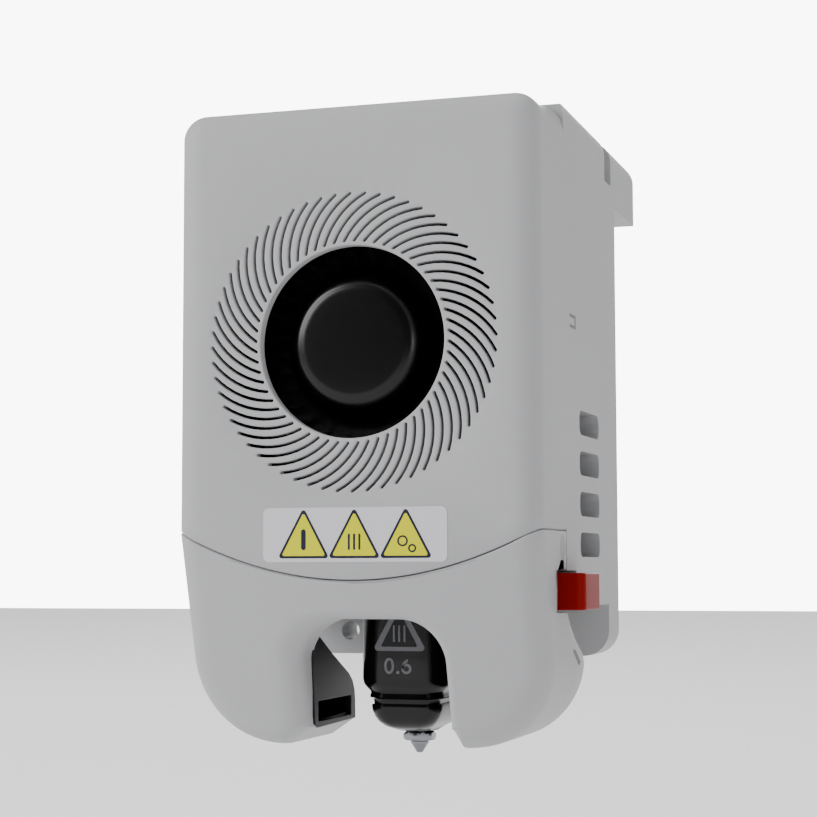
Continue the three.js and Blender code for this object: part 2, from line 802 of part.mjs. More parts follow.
add('front_bearing', bearingY(at(23.1), at(24.9)), steel);
add('rear_bearing', bearingY(at(38.1), at(39.5)), steel);

const pivotX = -12.5;
const pivotZ = 5.5;
const springX = -22;

function makeExtruderBody() {
  const frontPlate = slabY(roundedBox2(-16, 18.5, 0.5, 30, 2), at(22.8), at(25), 2);
  const rearPlate = slabY(roundedBox2(-24, 22, 0.5, 30, 2), at(38), at(39.8), 2);
  return cut(
    joined(
      frontPlate,
      rearPlate,
      block(-6, 18.5, at(22.8), at(39.8), 27, 30),
      block(-16, 18.5, at(22.8), at(39.8), 0.5, 3.2),
      block(-18, -15.5, at(27), at(39), -9, 3.2),
      block(-26, -15.5, at(27), at(36), -9, -6.4),
    ),
    rodZ(1.1, 0, 31, hotendX, hotY, 12),
    rodZ(1.15, -10, -6, springX, hotY, 12),
    rodY(3.5 + joinGap, at(22), at(26), driveX, driveZ, 16),
    rodY(3.5 + joinGap, at(37), at(40), driveX, driveZ, 16),
    rodY(4.2, at(37), at(40), motorX, motorZ, 16),
    rodY(1.5 + joinGap, at(22), at(40), pivotX, pivotZ, 14),
    rodY(1.3, at(37), at(41), motorX - 20, motorZ, 10),
    rodY(1.3, at(37), at(41), motorX + 20, motorZ, 10),
  );
}

add('extruder_body', makeExtruderBody(), blackPlastic);

function makeIdlerArm() {
  const cheek = polygon([-16, 4.3], [-9.2, 4.3], [-0.4, 12.5], [-0.4, 15.6], [-4, 16.8], [-16, 16.8]);
  const spine = polygon([-16, 4.3], [-9.2, 4.3], [-9.2, 16.8], [-16, 16.8]);
  return cut(
    joined(
      slabY(cheek, at(25.5), at(26.6)),
      slabY(cheek, at(33.8), at(34.8)),
      slabY(spine, at(25.5), at(34.8)),
      block(-27, -15.5, at(27.5), at(34.8), 5, 9),
    ),
    rodY(1.5 + runGap, at(25), at(35), pivotX, pivotZ, 14),
    rodY(1.5 + joinGap, at(25), at(35), idlerX, driveZ, 14),
    rodZ(1.8, 4, 10, springX, hotY, 14),
  );
}

add('idler_arm', makeIdlerArm(), blackPlastic);
add('idler_pin', rodY(1.5, at(22.9), at(39.7), pivotX, pivotZ, 14), steel);
add('idler_axle', rodY(1.5, at(25.6), at(34.7), idlerX, driveZ, 16), steel);

// Coil spring between the body's ledge and the arm's tail
class Helix extends THREE.Curve {
  constructor(radius, low, high, turns) {
    super();
    Object.assign(this, { radius, low, high, turns });
  }

  getPoint(t, target = new THREE.Vector3()) {
    const angle = 2 * Math.PI * this.turns * t;
    return target.set(
      this.radius * Math.cos(angle),
      this.radius * Math.sin(angle),
      this.low + (this.high - this.low) * t,
    );
  }
}

function coil(radius, wire, low, high, turns) {
  const section = new THREE.Shape();
  section.absarc(0, 0, wire, 0, 2 * Math.PI);
  return new THREE.ExtrudeGeometry(section, {
    steps: turns * 9,
    curveSegments: 2,
    bevelEnabled: false,
    extrudePath: new Helix(radius, low, high, turns),
  });
}

const tensionCoil = coil(2.3, 0.35, -5.9, 4.5, 5);
tensionCoil.translate(springX, hotY, 0);
add('tension_spring', solid(tensionCoil), steel);
add(
  'tension_screw',
  joined(rodZ(1.1, -9.8, 10.4, springX, hotY, 12), rodZ(3, 10.2, 12.2, springX, hotY, 20)),
  steel,
);

// Motor
function makeMotorHousing() {
  return cut(
    joined(
      rodY(17.5, at(40), at(55.4), motorX, motorZ, 30),
      slabY(roundedBox2(motorX - 23, motorX + 23, motorZ - 3.6, motorZ + 3.6, 3), at(40), at(42), 3),
    ),
    rodY(13, at(42), at(53.4), motorX, motorZ, 24),
    rodY(3.4, at(39), at(43), motorX, motorZ, 20),
    rodY(1.3, at(39), at(43), motorX - 20, motorZ, 10),
    rodY(1.3, at(39), at(43), motorX + 20, motorZ, 10),
  );
}

add('motor_housing', makeMotorHousing(), magnetBlack);
add(
  'motor_stator',
  cut(rodY(12.9, at(43), at(52.4), motorX, motorZ), rodY(8.7, at(42), at(53), motorX, motorZ)),
  copper,
);
add(
  'motor_rotor',
  cut(rodY(8.4, at(43.4), at(52), motorX, motorZ), rodY(2.02, at(43), at(53), motorX, motorZ, 16)),
  magnetBlack,
);
add(
  'motor_shaft',
  joined(
    gearY(pinionTeeth, gearModule, 0, at(34.9), at(37.6), motorX, motorZ),
    rodY(2, at(37.5), at(53), motorX, motorZ, 16),
  ),
  steel,
);

function motorScrew(x) {
  return joined(rodY(2, at(42.05), at(43.6), x, motorZ, 14), rodY(1.2, at(38.3), at(42.2), x, motorZ, 10));
}

add('motor_screw_left', motorScrew(motorX - 20), steel);
add('motor_screw_right', motorScrew(motorX + 20), steel);

// ---- Filament cutter ----

function makeCutterButton() {
  const tab = slabZ(roundedBox2(29.3, 37.6, at(13.6), at(27.9), 1.8), -46.3, -39.9, 4);
  return cut(
    joined(
      tab,
      block(24, 31, at(21.6), at(27.4), -46.3, -39.9),
      block(24, 27.6, at(21.6), at(27.4), -46.3, -3.2),
      block(15.6, 27.6, at(21.6), at(34), -7.4, -3.2),
    ),
    block(14, 24.5, at(29), at(34.2), -5.9, -4.1),
  );
}

add('cutter_button', makeCutterButton(), redPlastic);
add(
  'cutter_blade',
  slabZ(
    polygon(
      [4.4, at(29.4)], [24.2, at(29.4)], [24.2, at(33.7)], [5.6, at(33.7)],
    ),
    -5.3, -4.7,
  ),
  steel,
);
add(
  'cutter_guide',
  cut(
    block(-6, 11, at(27.4), at(35.6), -8.1, -1.9),
    block(-3, 12, at(28.9), at(34.2), -5.9, -4.1),
    rodZ(1.1, -9, -1, hotendX, hotY, 12),
  ),
  blackPlastic,
);

const returnCoil = coil(1.9, 0.3, 16.45, 23.55, 4);
returnCoil.applyMatrix4(yzToXyz);
returnCoil.translate(0, at(24.5), -25);
add('cutter_spring', solid(returnCoil), steel);

// ---- Filament inlet ----

add(
  'inlet_fitting',
  turnedZ(
    [
      [2.1, 39.6], [4.6, 39.6], [4.6, 46.1], [5.6, 46.1], [5.6, 46.6], [3.1, 46.6],
      [3.1, 43.4], [2.1, 43.4], [2.1, 39.6],
    ],
    hotendX, hotY, 20,
  ),
  blackPlastic,
);
add(
  'inlet_collet',
  turnedZ(
    [
      [2.05, 44.6], [3.03, 44.6], [3.03, 47.65], [4.2, 47.65], [4.2, 48.15], [2.05, 48.15],
      [2.05, 44.6],
    ],
    hotendX, hotY, 20,
  ),
  blackPlastic,
);
add(
  'inlet_tube',
  cut(rodZ(2, 30.2, 43, hotendX, hotY, 16), rodZ(1, 30, 44, hotendX, hotY, 12)),
  clearTube,
);

// ---- Electronics ----

add(
  'toolhead_board',
  slabY(roundedBox2(-25, 25, -42, 1, 2), at(56.2), at(57.6), 3),
  boardGreen,
);
add(
  'main_connector',
  cut(
    block(-10, 10, at(57.7), at(65.6), -30.5, -21.5),
    block(-9, 9, at(59.5), at(67), -29.5, -22.5),
  ),
  socketWhite,
);

export default head;
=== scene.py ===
import json
import math

import bmesh
import bpy
import numpy as np
from mathutils import Matrix, Vector
from mathutils.geometry import delaunay_2d_cdt


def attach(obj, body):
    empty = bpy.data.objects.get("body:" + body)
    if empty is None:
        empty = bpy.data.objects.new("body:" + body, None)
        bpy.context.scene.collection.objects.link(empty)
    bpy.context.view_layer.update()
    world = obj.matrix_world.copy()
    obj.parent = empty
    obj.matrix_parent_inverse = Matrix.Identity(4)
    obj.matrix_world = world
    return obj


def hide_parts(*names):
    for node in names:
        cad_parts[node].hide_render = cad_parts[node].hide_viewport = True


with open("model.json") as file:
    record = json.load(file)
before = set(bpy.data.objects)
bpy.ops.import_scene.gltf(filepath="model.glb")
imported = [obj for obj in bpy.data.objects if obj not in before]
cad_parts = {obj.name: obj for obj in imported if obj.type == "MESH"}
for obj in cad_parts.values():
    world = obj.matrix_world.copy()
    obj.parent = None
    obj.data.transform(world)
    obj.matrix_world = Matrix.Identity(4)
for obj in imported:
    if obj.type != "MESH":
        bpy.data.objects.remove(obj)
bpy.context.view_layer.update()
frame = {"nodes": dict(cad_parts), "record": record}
nodes = frame["nodes"]
mm = 0.001
print("frame loaded:", len(nodes), "nodes")

# camera first, so that the framing never depends on what is built later
view = {
    "place": (108.36, -377.59, -39.28),  # mm
    "yaw": 17.48,
    "pitch": 4.79,
    "roll": -0.14,
    "lens": 84.75,
    "sensor": 36.0,
}

cameraData = bpy.data.cameras.new("viewCamera")
cameraData.lens = view["lens"]
cameraData.sensor_width = view["sensor"]
cameraData.clip_start = 0.01
cameraData.clip_end = 20
camera = bpy.data.objects.new("viewCamera", cameraData)
bpy.context.scene.collection.objects.link(camera)
turn = (
    Matrix.Rotation(math.radians(view["yaw"]), 4, "Z")
    @ Matrix.Rotation(math.radians(90 + view["pitch"]), 4, "X")
    @ Matrix.Rotation(math.radians(view["roll"]), 4, "Z")
)
camera.matrix_world = Matrix.Translation(Vector(view["place"]) * mm) @ turn
bpy.context.scene.camera = camera


def addNode(tree, kind, links=None, settings=None, **values):
    # a node with its plain values set and its inputs wired from other sockets
    node = tree.nodes.new(kind)
    for key, value in (settings or {}).items():
        setattr(node, key, value)
    for key, value in values.items():
        node.inputs[key.replace("_", " ")].default_value = value
    for key, socket in (links or {}).items():
        tree.links.new(socket, node.inputs[key])
    return node


def startGroup(name, inputs, outputs):
    # an empty node group with float inputs {name: default} and outputs {name: socket kind}
    group = bpy.data.node_groups.new(name, "ShaderNodeTree")
    for label, value in inputs.items():
        socket = group.interface.new_socket(name=label, in_out="INPUT", socket_type="NodeSocketFloat")
        socket.default_value = value
    for label, kind in outputs.items():
        group.interface.new_socket(name=label, in_out="OUTPUT", socket_type=kind)
    return group, group.nodes.new("NodeGroupInput"), group.nodes.new("NodeGroupOutput")


def buildGrainGroup():
    # spark-eroded mould texture: two octaves of noise for height, one slow noise for tone
    outputs = {"Height": "NodeSocketFloat", "Tone": "NodeSocketFloat"}
    group, given, made = startGroup("mouldGrain", {"Scale": 2200.0, "Slow": 35.0}, outputs)
    place = addNode(group, "ShaderNodeTexCoord").outputs["Object"]
    fineLinks = {"Vector": place, "Scale": given.outputs["Scale"]}
    fine = addNode(group, "ShaderNodeTexNoise", fineLinks, Detail=2.0)
    slowLinks = {"Vector": place, "Scale": given.outputs["Slow"]}
    slow = addNode(group, "ShaderNodeTexNoise", slowLinks, Detail=4.0)
    group.links.new(fine.outputs["Fac"], made.inputs["Height"])
    group.links.new(slow.outputs["Fac"], made.inputs["Tone"])
    return group


def buildEdgeGroup():
    # convex edges: how far the rounded normal leans away from the true one, broken up by noise
    inputs = {"Radius": 0.0006, "Amount": 1.0}
    group, given, made = startGroup("edgeWear", inputs, {"Mask": "NodeSocketFloat"})
    rounded = addNode(group, "ShaderNodeBevel", {"Radius": given.outputs["Radius"]}, {"samples": 4})
    true = addNode(group, "ShaderNodeNewGeometry")
    lean = addNode(
        group, "ShaderNodeVectorMath",
        {0: rounded.outputs["Normal"], 1: true.outputs["Normal"]}, {"operation": "DOT_PRODUCT"},
    )
    gap = addNode(group, "ShaderNodeMath", {1: lean.outputs["Value"]}, {"operation": "SUBTRACT"})
    gap.inputs[0].default_value = 1.0
    place = addNode(group, "ShaderNodeTexCoord").outputs["Object"]
    chips = addNode(group, "ShaderNodeTexNoise", {"Vector": place}, Scale=420.0, Detail=3.0)
    broken = addNode(
        group, "ShaderNodeMath", {0: gap.outputs[0], 1: chips.outputs["Fac"]}, {"operation": "MULTIPLY"}
    )
    scaled = addNode(
        group, "ShaderNodeMath", {0: broken.outputs[0], 1: given.outputs["Amount"]},
        {"operation": "MULTIPLY", "use_clamp": True},
    )
    group.links.new(scaled.outputs[0], made.inputs["Mask"])
    return group


def buildBrushGroup():
    # machining marks: noise drawn out along one axis of the piece
    inputs = {"Along": 60.0, "Across": 2600.0}
    group, given, made = startGroup("machinedMarks", inputs, {"Height": "NodeSocketFloat"})
    place = addNode(group, "ShaderNodeTexCoord").outputs["Object"]
    stretch = addNode(
        group, "ShaderNodeCombineXYZ",
        {"X": given.outputs["Along"], "Y": given.outputs["Along"], "Z": given.outputs["Across"]},
    )
    scaled = addNode(
        group, "ShaderNodeVectorMath", {0: place, 1: stretch.outputs[0]}, {"operation": "MULTIPLY"}
    )
    marks = addNode(group, "ShaderNodeTexNoise", {"Vector": scaled.outputs[0]}, Scale=1.0, Detail=3.0)
    group.links.new(marks.outputs["Fac"], made.inputs["Height"])
    return group


grainGroup = buildGrainGroup()
edgeGroup = buildEdgeGroup()
brushGroup = buildBrushGroup()

finishes = {
    # colour, colour of the slow patches, colour on worn edges, roughness, grain depth in mm
    "grey_plastic": dict(
        colour=(0.365, 0.367, 0.376), patch=(0.352, 0.354, 0.363), edge=(0.45, 0.45, 0.46),
        rough=0.55, spread=0.10, grain=0.05, scale=1500.0, wear=0.8, shine=0.3,
    ),
    # painted shade: the dark grey of the side recesses stands for the shade inside them
    "recess_grey": dict(
        colour=(0.16, 0.16, 0.165), patch=(0.13, 0.13, 0.135), edge=(0.3, 0.3, 0.31),
        rough=0.6, spread=0.08, grain=0.01, scale=1900.0, wear=0.5, shine=0.2,
    ),
    # painted shade: a slightly darker grey standing for the shade in the dimple on the right side
    "dimple_grey": dict(
        colour=(0.31, 0.312, 0.32), patch=(0.30, 0.302, 0.31), edge=(0.31, 0.312, 0.32),
        rough=0.6, spread=0.08, grain=0.01, scale=1900.0, wear=0.0, shine=0.2,
    ),
    "black_plastic": dict(
        colour=(0.0045, 0.0045, 0.005), patch=(0.0065, 0.0065, 0.007), edge=(0.02, 0.02, 0.021),
        rough=0.42, spread=0.12, grain=0.006, scale=2300.0, wear=0.9, shine=0.22,
    ),
    "black_gloss": dict(
        colour=(0.0014, 0.0014, 0.0017), patch=(0.002, 0.002, 0.0024), edge=(0.008, 0.008, 0.009),
        rough=0.26, spread=0.06, grain=0.0018, scale=1500.0, wear=0.4, shine=0.3,
    ),
    "red_plastic": dict(
        colour=(0.20, 0.003, 0.0025), patch=(0.17, 0.0025, 0.002), edge=(0.42, 0.05, 0.04),
        rough=0.36, spread=0.06, grain=0.0015, scale=1300.0, wear=0.6, shine=0.04,
    ),
    "silicone": dict(
        colour=(0.002, 0.002, 0.0021), patch=(0.003, 0.003, 0.0032), edge=(0.008, 0.008, 0.0085),
        rough=0.20, spread=0.10, grain=0.002, scale=900.0, wear=0.3, shine=0.3,
    ),
    "label_film": dict(
        colour=(0.55, 0.55, 0.575), patch=(0.535, 0.535, 0.56), edge=(0.62, 0.62, 0.64),
        rough=0.38, spread=0.05, grain=0.001, scale=2600.0, wear=0.2, shine=0.3,
    ),
    "print_yellow": dict(
        colour=(0.60, 0.585, 0.0), patch=(0.57, 0.56, 0.0), edge=(0.60, 0.585, 0.0),
        rough=0.4, spread=0.05, grain=0.001, scale=2600.0, wear=0.0, shine=0.2,
    ),
    "print_dark": dict(
        colour=(0.012, 0.012, 0.03), patch=(0.014, 0.014, 0.03), edge=(0.012, 0.012, 0.03),
        rough=0.4, spread=0.05, grain=0.001, scale=2600.0, wear=0.0, shine=0.2,
    ),
    "print_grey": dict(
        colour=(0.17, 0.17, 0.18), patch=(0.15, 0.15, 0.16), edge=(0.2, 0.2, 0.2),
        rough=0.45, spread=0.06, grain=0.001, scale=2600.0, wear=0.0, shine=0.2,
    ),
    "gear_white": dict(
        colour=(0.72, 0.71, 0.66), patch=(0.68, 0.67, 0.62), edge=(0.8, 0.79, 0.75),
        rough=0.45, spread=0.08, grain=0.003, scale=1500.0, wear=0.5, shine=0.4,
    ),
    "tube_white": dict(
        colour=(0.78, 0.78, 0.76), patch=(0.74, 0.74, 0.72), edge=(0.82, 0.82, 0.8),
        rough=0.35, spread=0.05, grain=0.001, scale=1500.0, wear=0.2, shine=0.4,
    ),
    "circuit_board": dict(
        colour=(0.012, 0.09, 0.035), patch=(0.016, 0.12, 0.045), edge=(0.30, 0.26, 0.14),
        rough=0.32, spread=0.06, grain=0.002, scale=900.0, wear=1.0, shine=0.4,
    ),
}
metals = {
    # colour, darker streak colour, roughness and its spread, mark depth in mm
    "steel": dict(
        colour=(0.27, 0.275, 0.29), streak=(0.17, 0.175, 0.19),
        rough=0.2, spread=0.14, marks=0.004,
    ),
    "aluminium": dict(
        colour=(0.26, 0.265, 0.28), streak=(0.18, 0.185, 0.2),
        rough=0.34, spread=0.14, marks=0.005,
    ),
    "bronze": dict(
        colour=(0.48, 0.31, 0.15), streak=(0.36, 0.22, 0.10),
        rough=0.40, spread=0.12, marks=0.003,
    ),
    "copper": dict(
        colour=(0.56, 0.29, 0.15), streak=(0.42, 0.20, 0.10),
        rough=0.38, spread=0.14, marks=0.004,
    ),
    "winding": dict(
        colour=(0.42, 0.19, 0.07), streak=(0.26, 0.10, 0.035),
        rough=0.36, spread=0.12, marks=0.03,
    ),
    "magnet": dict(
        colour=(0.055, 0.055, 0.06), streak=(0.035, 0.035, 0.04),
        rough=0.42, spread=0.15, marks=0.004,
    ),
    "motor_can": dict(
        colour=(0.035, 0.035, 0.038), streak=(0.02, 0.02, 0.022),
        rough=0.36, spread=0.12, marks=0.003,
    ),
}


def startMaterial(name):
    material = bpy.data.materials.new(name)
    material.use_nodes = True
    tree = material.node_tree
    shader = next(node for node in tree.nodes if node.type == "BSDF_PRINCIPLED")
    return material, tree, shader


def roughnessFrom(tree, shader, fac, f):
    # roughness spread evenly about the finish's own value
    low, high = f["rough"] - f["spread"] / 2, f["rough"] + f["spread"] / 2
    span = addNode(tree, "ShaderNodeMapRange", {"Value": fac}, To_Min=low, To_Max=high)
    tree.links.new(span.outputs["Result"], shader.inputs["Roughness"])


def plasticMaterial(name, f):
    material, tree, shader = startMaterial(name)
    shader.inputs["Specular IOR Level"].default_value = f["shine"]
    grain = addNode(tree, "ShaderNodeGroup", settings={"node_tree": grainGroup}, Scale=f["scale"])
    edge = addNode(tree, "ShaderNodeGroup", settings={"node_tree": edgeGroup}, Amount=f["wear"])
    body = addNode(tree, "ShaderNodeMix", {"Factor": grain.outputs["Tone"]}, {"data_type": "RGBA"})
    body.inputs[6].default_value = (*f["colour"], 1)
    body.inputs[7].default_value = (*f["patch"], 1)
    worn = addNode(tree, "ShaderNodeMix", {"Factor": edge.outputs["Mask"]}, {"data_type": "RGBA"})
    tree.links.new(body.outputs[2], worn.inputs[6])
    worn.inputs[7].default_value = (*f["edge"], 1)
    tree.links.new(worn.outputs[2], shader.inputs["Base Color"])
    roughnessFrom(tree, shader, grain.outputs["Tone"], f)
    height = {"Height": grain.outputs["Height"]}
    bump = addNode(tree, "ShaderNodeBump", height, Strength=0.6, Distance=f["grain"] * mm)
    tree.links.new(bump.outputs["Normal"], shader.inputs["Normal"])
    return material


def metalMaterial(name, f):
    material, tree, shader = startMaterial(name)
    marks = addNode(tree, "ShaderNodeGroup", settings={"node_tree": brushGroup})
    edge = addNode(tree, "ShaderNodeGroup", settings={"node_tree": edgeGroup}, Amount=0.5)
    body = addNode(tree, "ShaderNodeMix", {"Factor": marks.outputs["Height"]}, {"data_type": "RGBA"})
    body.inputs[6].default_value = (*f["colour"], 1)
    body.inputs[7].default_value = (*f["streak"], 1)
    bright = addNode(tree, "ShaderNodeMix", {"Factor": edge.outputs["Mask"]}, {"data_type": "RGBA"})
    tree.links.new(body.outputs[2], bright.inputs[6])
    bright.inputs[7].default_value = tuple(min(1.0, c * 1.4) for c in f["colour"]) + (1,)
    tree.links.new(bright.outputs[2], shader.inputs["Base Color"])
    shader.inputs["Metallic"].default_value = 1.0
    roughnessFrom(tree, shader, marks.outputs["Height"], f)
    height = {"Height": marks.outputs["Height"]}
    bump = addNode(tree, "ShaderNodeBump", height, Strength=0.5, Distance=f["marks"] * mm)
    tree.links.new(bump.outputs["Normal"], shader.inputs["Normal"])
    return material


materials = {name: plasticMaterial(name, f) for name, f in finishes.items()}
materials.update({name: metalMaterial(name, f) for name, f in metals.items()})
slotOf = {row["node"]: row["material_slot"] for row in frame["record"]["subparts"]}
for nodeName, nodeObject in nodes.items():
    nodeObject.data.materials.clear()
    nodeObject.data.materials.append(materials[slotOf[nodeName]])
print("materials:", len(materials))


def gridQuads(rows, cols, wrap=False):
    # one quad for each cell of a rows by cols grid of points; wrap closes the columns on themselves
    i = np.arange(rows - 1)[:, None] * cols
    j = np.arange(cols if wrap else cols - 1)[None, :]
    k = (j + 1) % cols
    return np.stack([i + j, i + k, i + cols + k, i + cols + j], axis=-1).reshape(-1, 4)


def gridPatch(points, wrap=False):
    points = np.asarray(points, float)
    return points.reshape(-1, 3), gridQuads(points.shape[0], points.shape[1], wrap).tolist()


def makePiece(name, patches, material, sharp=32.0, outwards=None, weld=0.0006):
    # patches in mm joined into one welded mesh; outwards is a centre that an open skin faces away from
    faces, start = [], 0
    for points, quads in patches:
        faces += (np.asarray(quads) + start).tolist()
        start += len(points)
    mesh = bpy.data.meshes.new(name)
    mesh.from_pydata((np.concatenate([p for p, q in patches]) * mm).tolist(), [], faces)
    body = bmesh.new()
    body.from_mesh(mesh)
    bmesh.ops.remove_doubles(body, verts=body.verts, dist=weld * mm)
    bmesh.ops.dissolve_degenerate(body, edges=body.edges, dist=weld * mm)
    bmesh.ops.recalc_face_normals(body, faces=body.faces)
    if outwards is not None:
        centre = Vector(outwards) * mm
        facing = sum(f.normal.dot(f.calc_center_median() - centre) * f.calc_area() for f in body.faces)
        if facing < 0:
            bmesh.ops.reverse_faces(body, faces=body.faces)
    body.to_mesh(mesh)
    body.free()
    return finishPiece(name, mesh, material, sharp)


def finishPiece(name, mesh, material, sharp):
    mesh.polygons.foreach_set("use_smooth", np.ones(len(mesh.polygons), bool))
    mesh.set_sharp_from_angle(angle=math.radians(sharp))
    mesh.materials.clear()
    mesh.materials.append(material)
    piece = bpy.data.objects.new(name, mesh)
    bpy.context.scene.collection.objects.link(piece)
    return piece


def stands(piece, body, slot, *replaced):
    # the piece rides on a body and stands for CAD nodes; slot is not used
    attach(piece, body)
    if replaced:
        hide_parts(*replaced)
    return piece


def roundEdges(piece, width, segments=2, angle=50.0, clamp=False):
    bevel = piece.modifiers.new("edges", "BEVEL")
    bevel.width = width * mm
    bevel.segments = segments
    bevel.limit_method = "ANGLE"
    bevel.angle_limit = math.radians(angle)
    bevel.use_clamp_overlap = clamp
    bevel.loop_slide = False
    return piece


def weighNormals(piece):
    weighted = piece.modifiers.new("shading", "WEIGHTED_NORMAL")
    weighted.keep_sharp = True
    weighted.weight = 80
    return piece


def mergedCopy(node):
    # a copy of a CAD node's mesh and its edit form, with doubles merged and flat areas made one face
    mesh = nodes[node].data.copy()
    shape = bmesh.new()
    shape.from_mesh(mesh)
    bmesh.ops.remove_doubles(shape, verts=shape.verts, dist=merging["near"] * mm)
    flatAngle = math.radians(merging["flat"])
    bmesh.ops.dissolve_limit(shape, angle_limit=flatAngle, verts=shape.verts, edges=shape.edges)
    bmesh.ops.recalc_face_normals(shape, faces=shape.faces)
    return mesh, shape


def softened(node, body, width, segments=2, angle=30.0, sharp=40.0):
    # a CAD node's shape, merged into flat faces and given rounded edges
    mesh, shape = mergedCopy(node)
    shape.to_mesh(mesh)
    shape.free()
    piece = finishPiece(node + "_soft", mesh, materials[slotOf[node]], sharp)
    roundEdges(piece, width, segments, angle, clamp=True)
    weighNormals(piece)
    return stands(piece, body, slotOf[node], node)


merging = {"near": 0.002, "flat": 0.8}  # mm and degrees


def superQuarter(count, power):
    # quarter of a superellipse: outward share 0..1 and depth share 0..1, flat at both ends
    angle = np.linspace(0, np.pi / 2, count)
    return np.sin(angle) ** (2 / power), 1 - np.cos(angle) ** (2 / power)


def arcPoints(cx, cz, radius, start, end, count):
    angle = np.radians(np.linspace(start, end, count))
    return np.stack([cx + radius * np.cos(angle), cz + radius * np.sin(angle)], axis=-1)


def linePoints(a, b, count):
    t = np.linspace(0, 1, count)[:, None]
    return np.asarray(a, float) * (1 - t) + np.asarray(b, float) * t


def lathe(profile, sides, x, z):
    # profile of [radius, y] turned about an axis along Y
    profile = np.asarray(profile, float)
    angle = np.linspace(0, 2 * np.pi, sides, endpoint=False)[None, :]
    r, y = profile[:, :1], profile[:, 1:]
    return np.stack([x + r * np.sin(angle), y + 0 * angle, z + r * np.cos(angle)], axis=-1)


def latheZ(profile, sides, x, y):
    # profile of [radius, z] turned about an axis along Z
    profile = np.asarray(profile, float)
    angle = np.linspace(0, 2 * np.pi, sides, endpoint=False)[None, :]
    r, z = profile[:, :1], profile[:, 1:]
    return np.stack([x + r * np.cos(angle), y + r * np.sin(angle), z + 0 * angle], axis=-1)


def smoothProfile(knots, count):
    # Catmull-Rom curve through the knots, evenly shared between them
    k = np.asarray(knots, float)
    k = np.vstack([2 * k[0] - k[1], k, 2 * k[-1] - k[-2]])
    t = np.linspace(0, len(k) - 3, count)
    i = np.minimum(t.astype(int), len(k) - 4)
    f = (t - i)[:, None]
    a, b, c, d = k[i], k[i + 1], k[i + 2], k[i + 3]
    return 0.5 * (2 * b + (c - a) * f + (2 * a - 5 * b + 4 * c - d) * f**2 + (3 * b - 3 * c + d - a) * f**3)


case = {
    "half": 33.0,
    "depth": 66.5,  # front face to back face
    "top": 42.2,
    "corner": 4.5,
    "roundIn": 5.2,  # front rounding, measured in across the face
    "roundBack": 4.3,  # and back along the side
    "roundPower": 2.25,
    "wall": 1.9,
    "coverBack": 20.69,
    "seamLow": -41.15,
    "seamBow": 0.008,
    "seamGap": 0.19,
    "edge": 0.16,
    "backEdge": 0.02,
    "rise": 1.8,  # the roof climbs by this much from riseFrom to the back edge, above riseLow
    "riseFrom": 9.5,
    "riseLow": 34.0,
}
front = -case["depth"]


def seamZ(x):
    # the parting line is a parabola, low in the middle
    return case["seamLow"] + case["seamBow"] * x**2


slits = {
    "count": 60,
    "inner": 17.6,
    "outer": 25.85,
    "arc": 14.5,  # radius of each slit's own arc
    "centre": 15.63,  # how far that arc's centre lies from the blower axis
    "first": 47.2,
    "half": 0.27,
    "points": 9,
    "open": 16.75,
    "openSides": 144,
}


def slitLoops(grow):
    # each slit: two concentric arcs joined by half-round ends, turned about the blower axis
    s = slits
    half = s["half"] + grow
    bearings = []
    for radius in (s["inner"], s["outer"]):
        swing = math.acos((radius**2 + s["centre"] ** 2 - s["arc"] ** 2) / (2 * radius * s["centre"]))
        bearings.append(math.atan2(radius * math.cos(-swing) - s["centre"], radius * math.sin(-swing)))
    a0 = bearings[0]
    a1 = a0 + math.remainder(bearings[1] - a0, 2 * math.pi)
    along = np.linspace(a0, a1, s["points"])
    cap = np.linspace(0, np.pi, 6)[1:-1]
    step = 1 if a1 > a0 else -1
    outer = np.stack([(s["arc"] + half) * np.cos(along), (s["arc"] + half) * np.sin(along)], axis=-1)
    inner = np.stack([(s["arc"] - half) * np.cos(along), (s["arc"] - half) * np.sin(along)], axis=-1)[::-1]

    def capAt(angle, start, sense):
        middle = np.array([s["arc"] * np.cos(angle), s["arc"] * np.sin(angle)])
        swingAngle = start + sense * cap
        return middle + half * np.stack([np.cos(swingAngle), np.sin(swingAngle)], axis=-1)

    loop = np.vstack([outer, capAt(a1, a1, step), inner, capAt(a0, a0 + np.pi, step)])
    loop[:, 1] += s["centre"]
    turns = np.radians(-(s["first"] + 360 / s["count"] * np.arange(s["count"])))
    c, w = np.cos(turns)[:, None], np.sin(turns)[:, None]
    x, z = loop[None, :, 0], loop[None, :, 1]
    return np.stack([x * c - z * w, x * w + z * c], axis=-1)


def coverOutline(inset, lift):
    # up the left side from the seam, round the corner, over the top and down the right side
    h, top = case["half"] - inset, case["top"] - inset
    rho = max(case["corner"] - (case["corner"] - 0.5) * inset / case["roundIn"], 0.5)
    end = seamZ(h) + case["seamGap"] + lift
    right = np.vstack([
        arcPoints(h - rho, top - rho, rho, 90, 0, 11),
        linePoints((h, top - rho), (h, end), 26)[1:],
    ])
    left = right[::-1] * (-1, 1)
    over = linePoints((-h + rho, top), (h - rho, top), 24)[1:-1]
    return np.vstack([left, over, right])


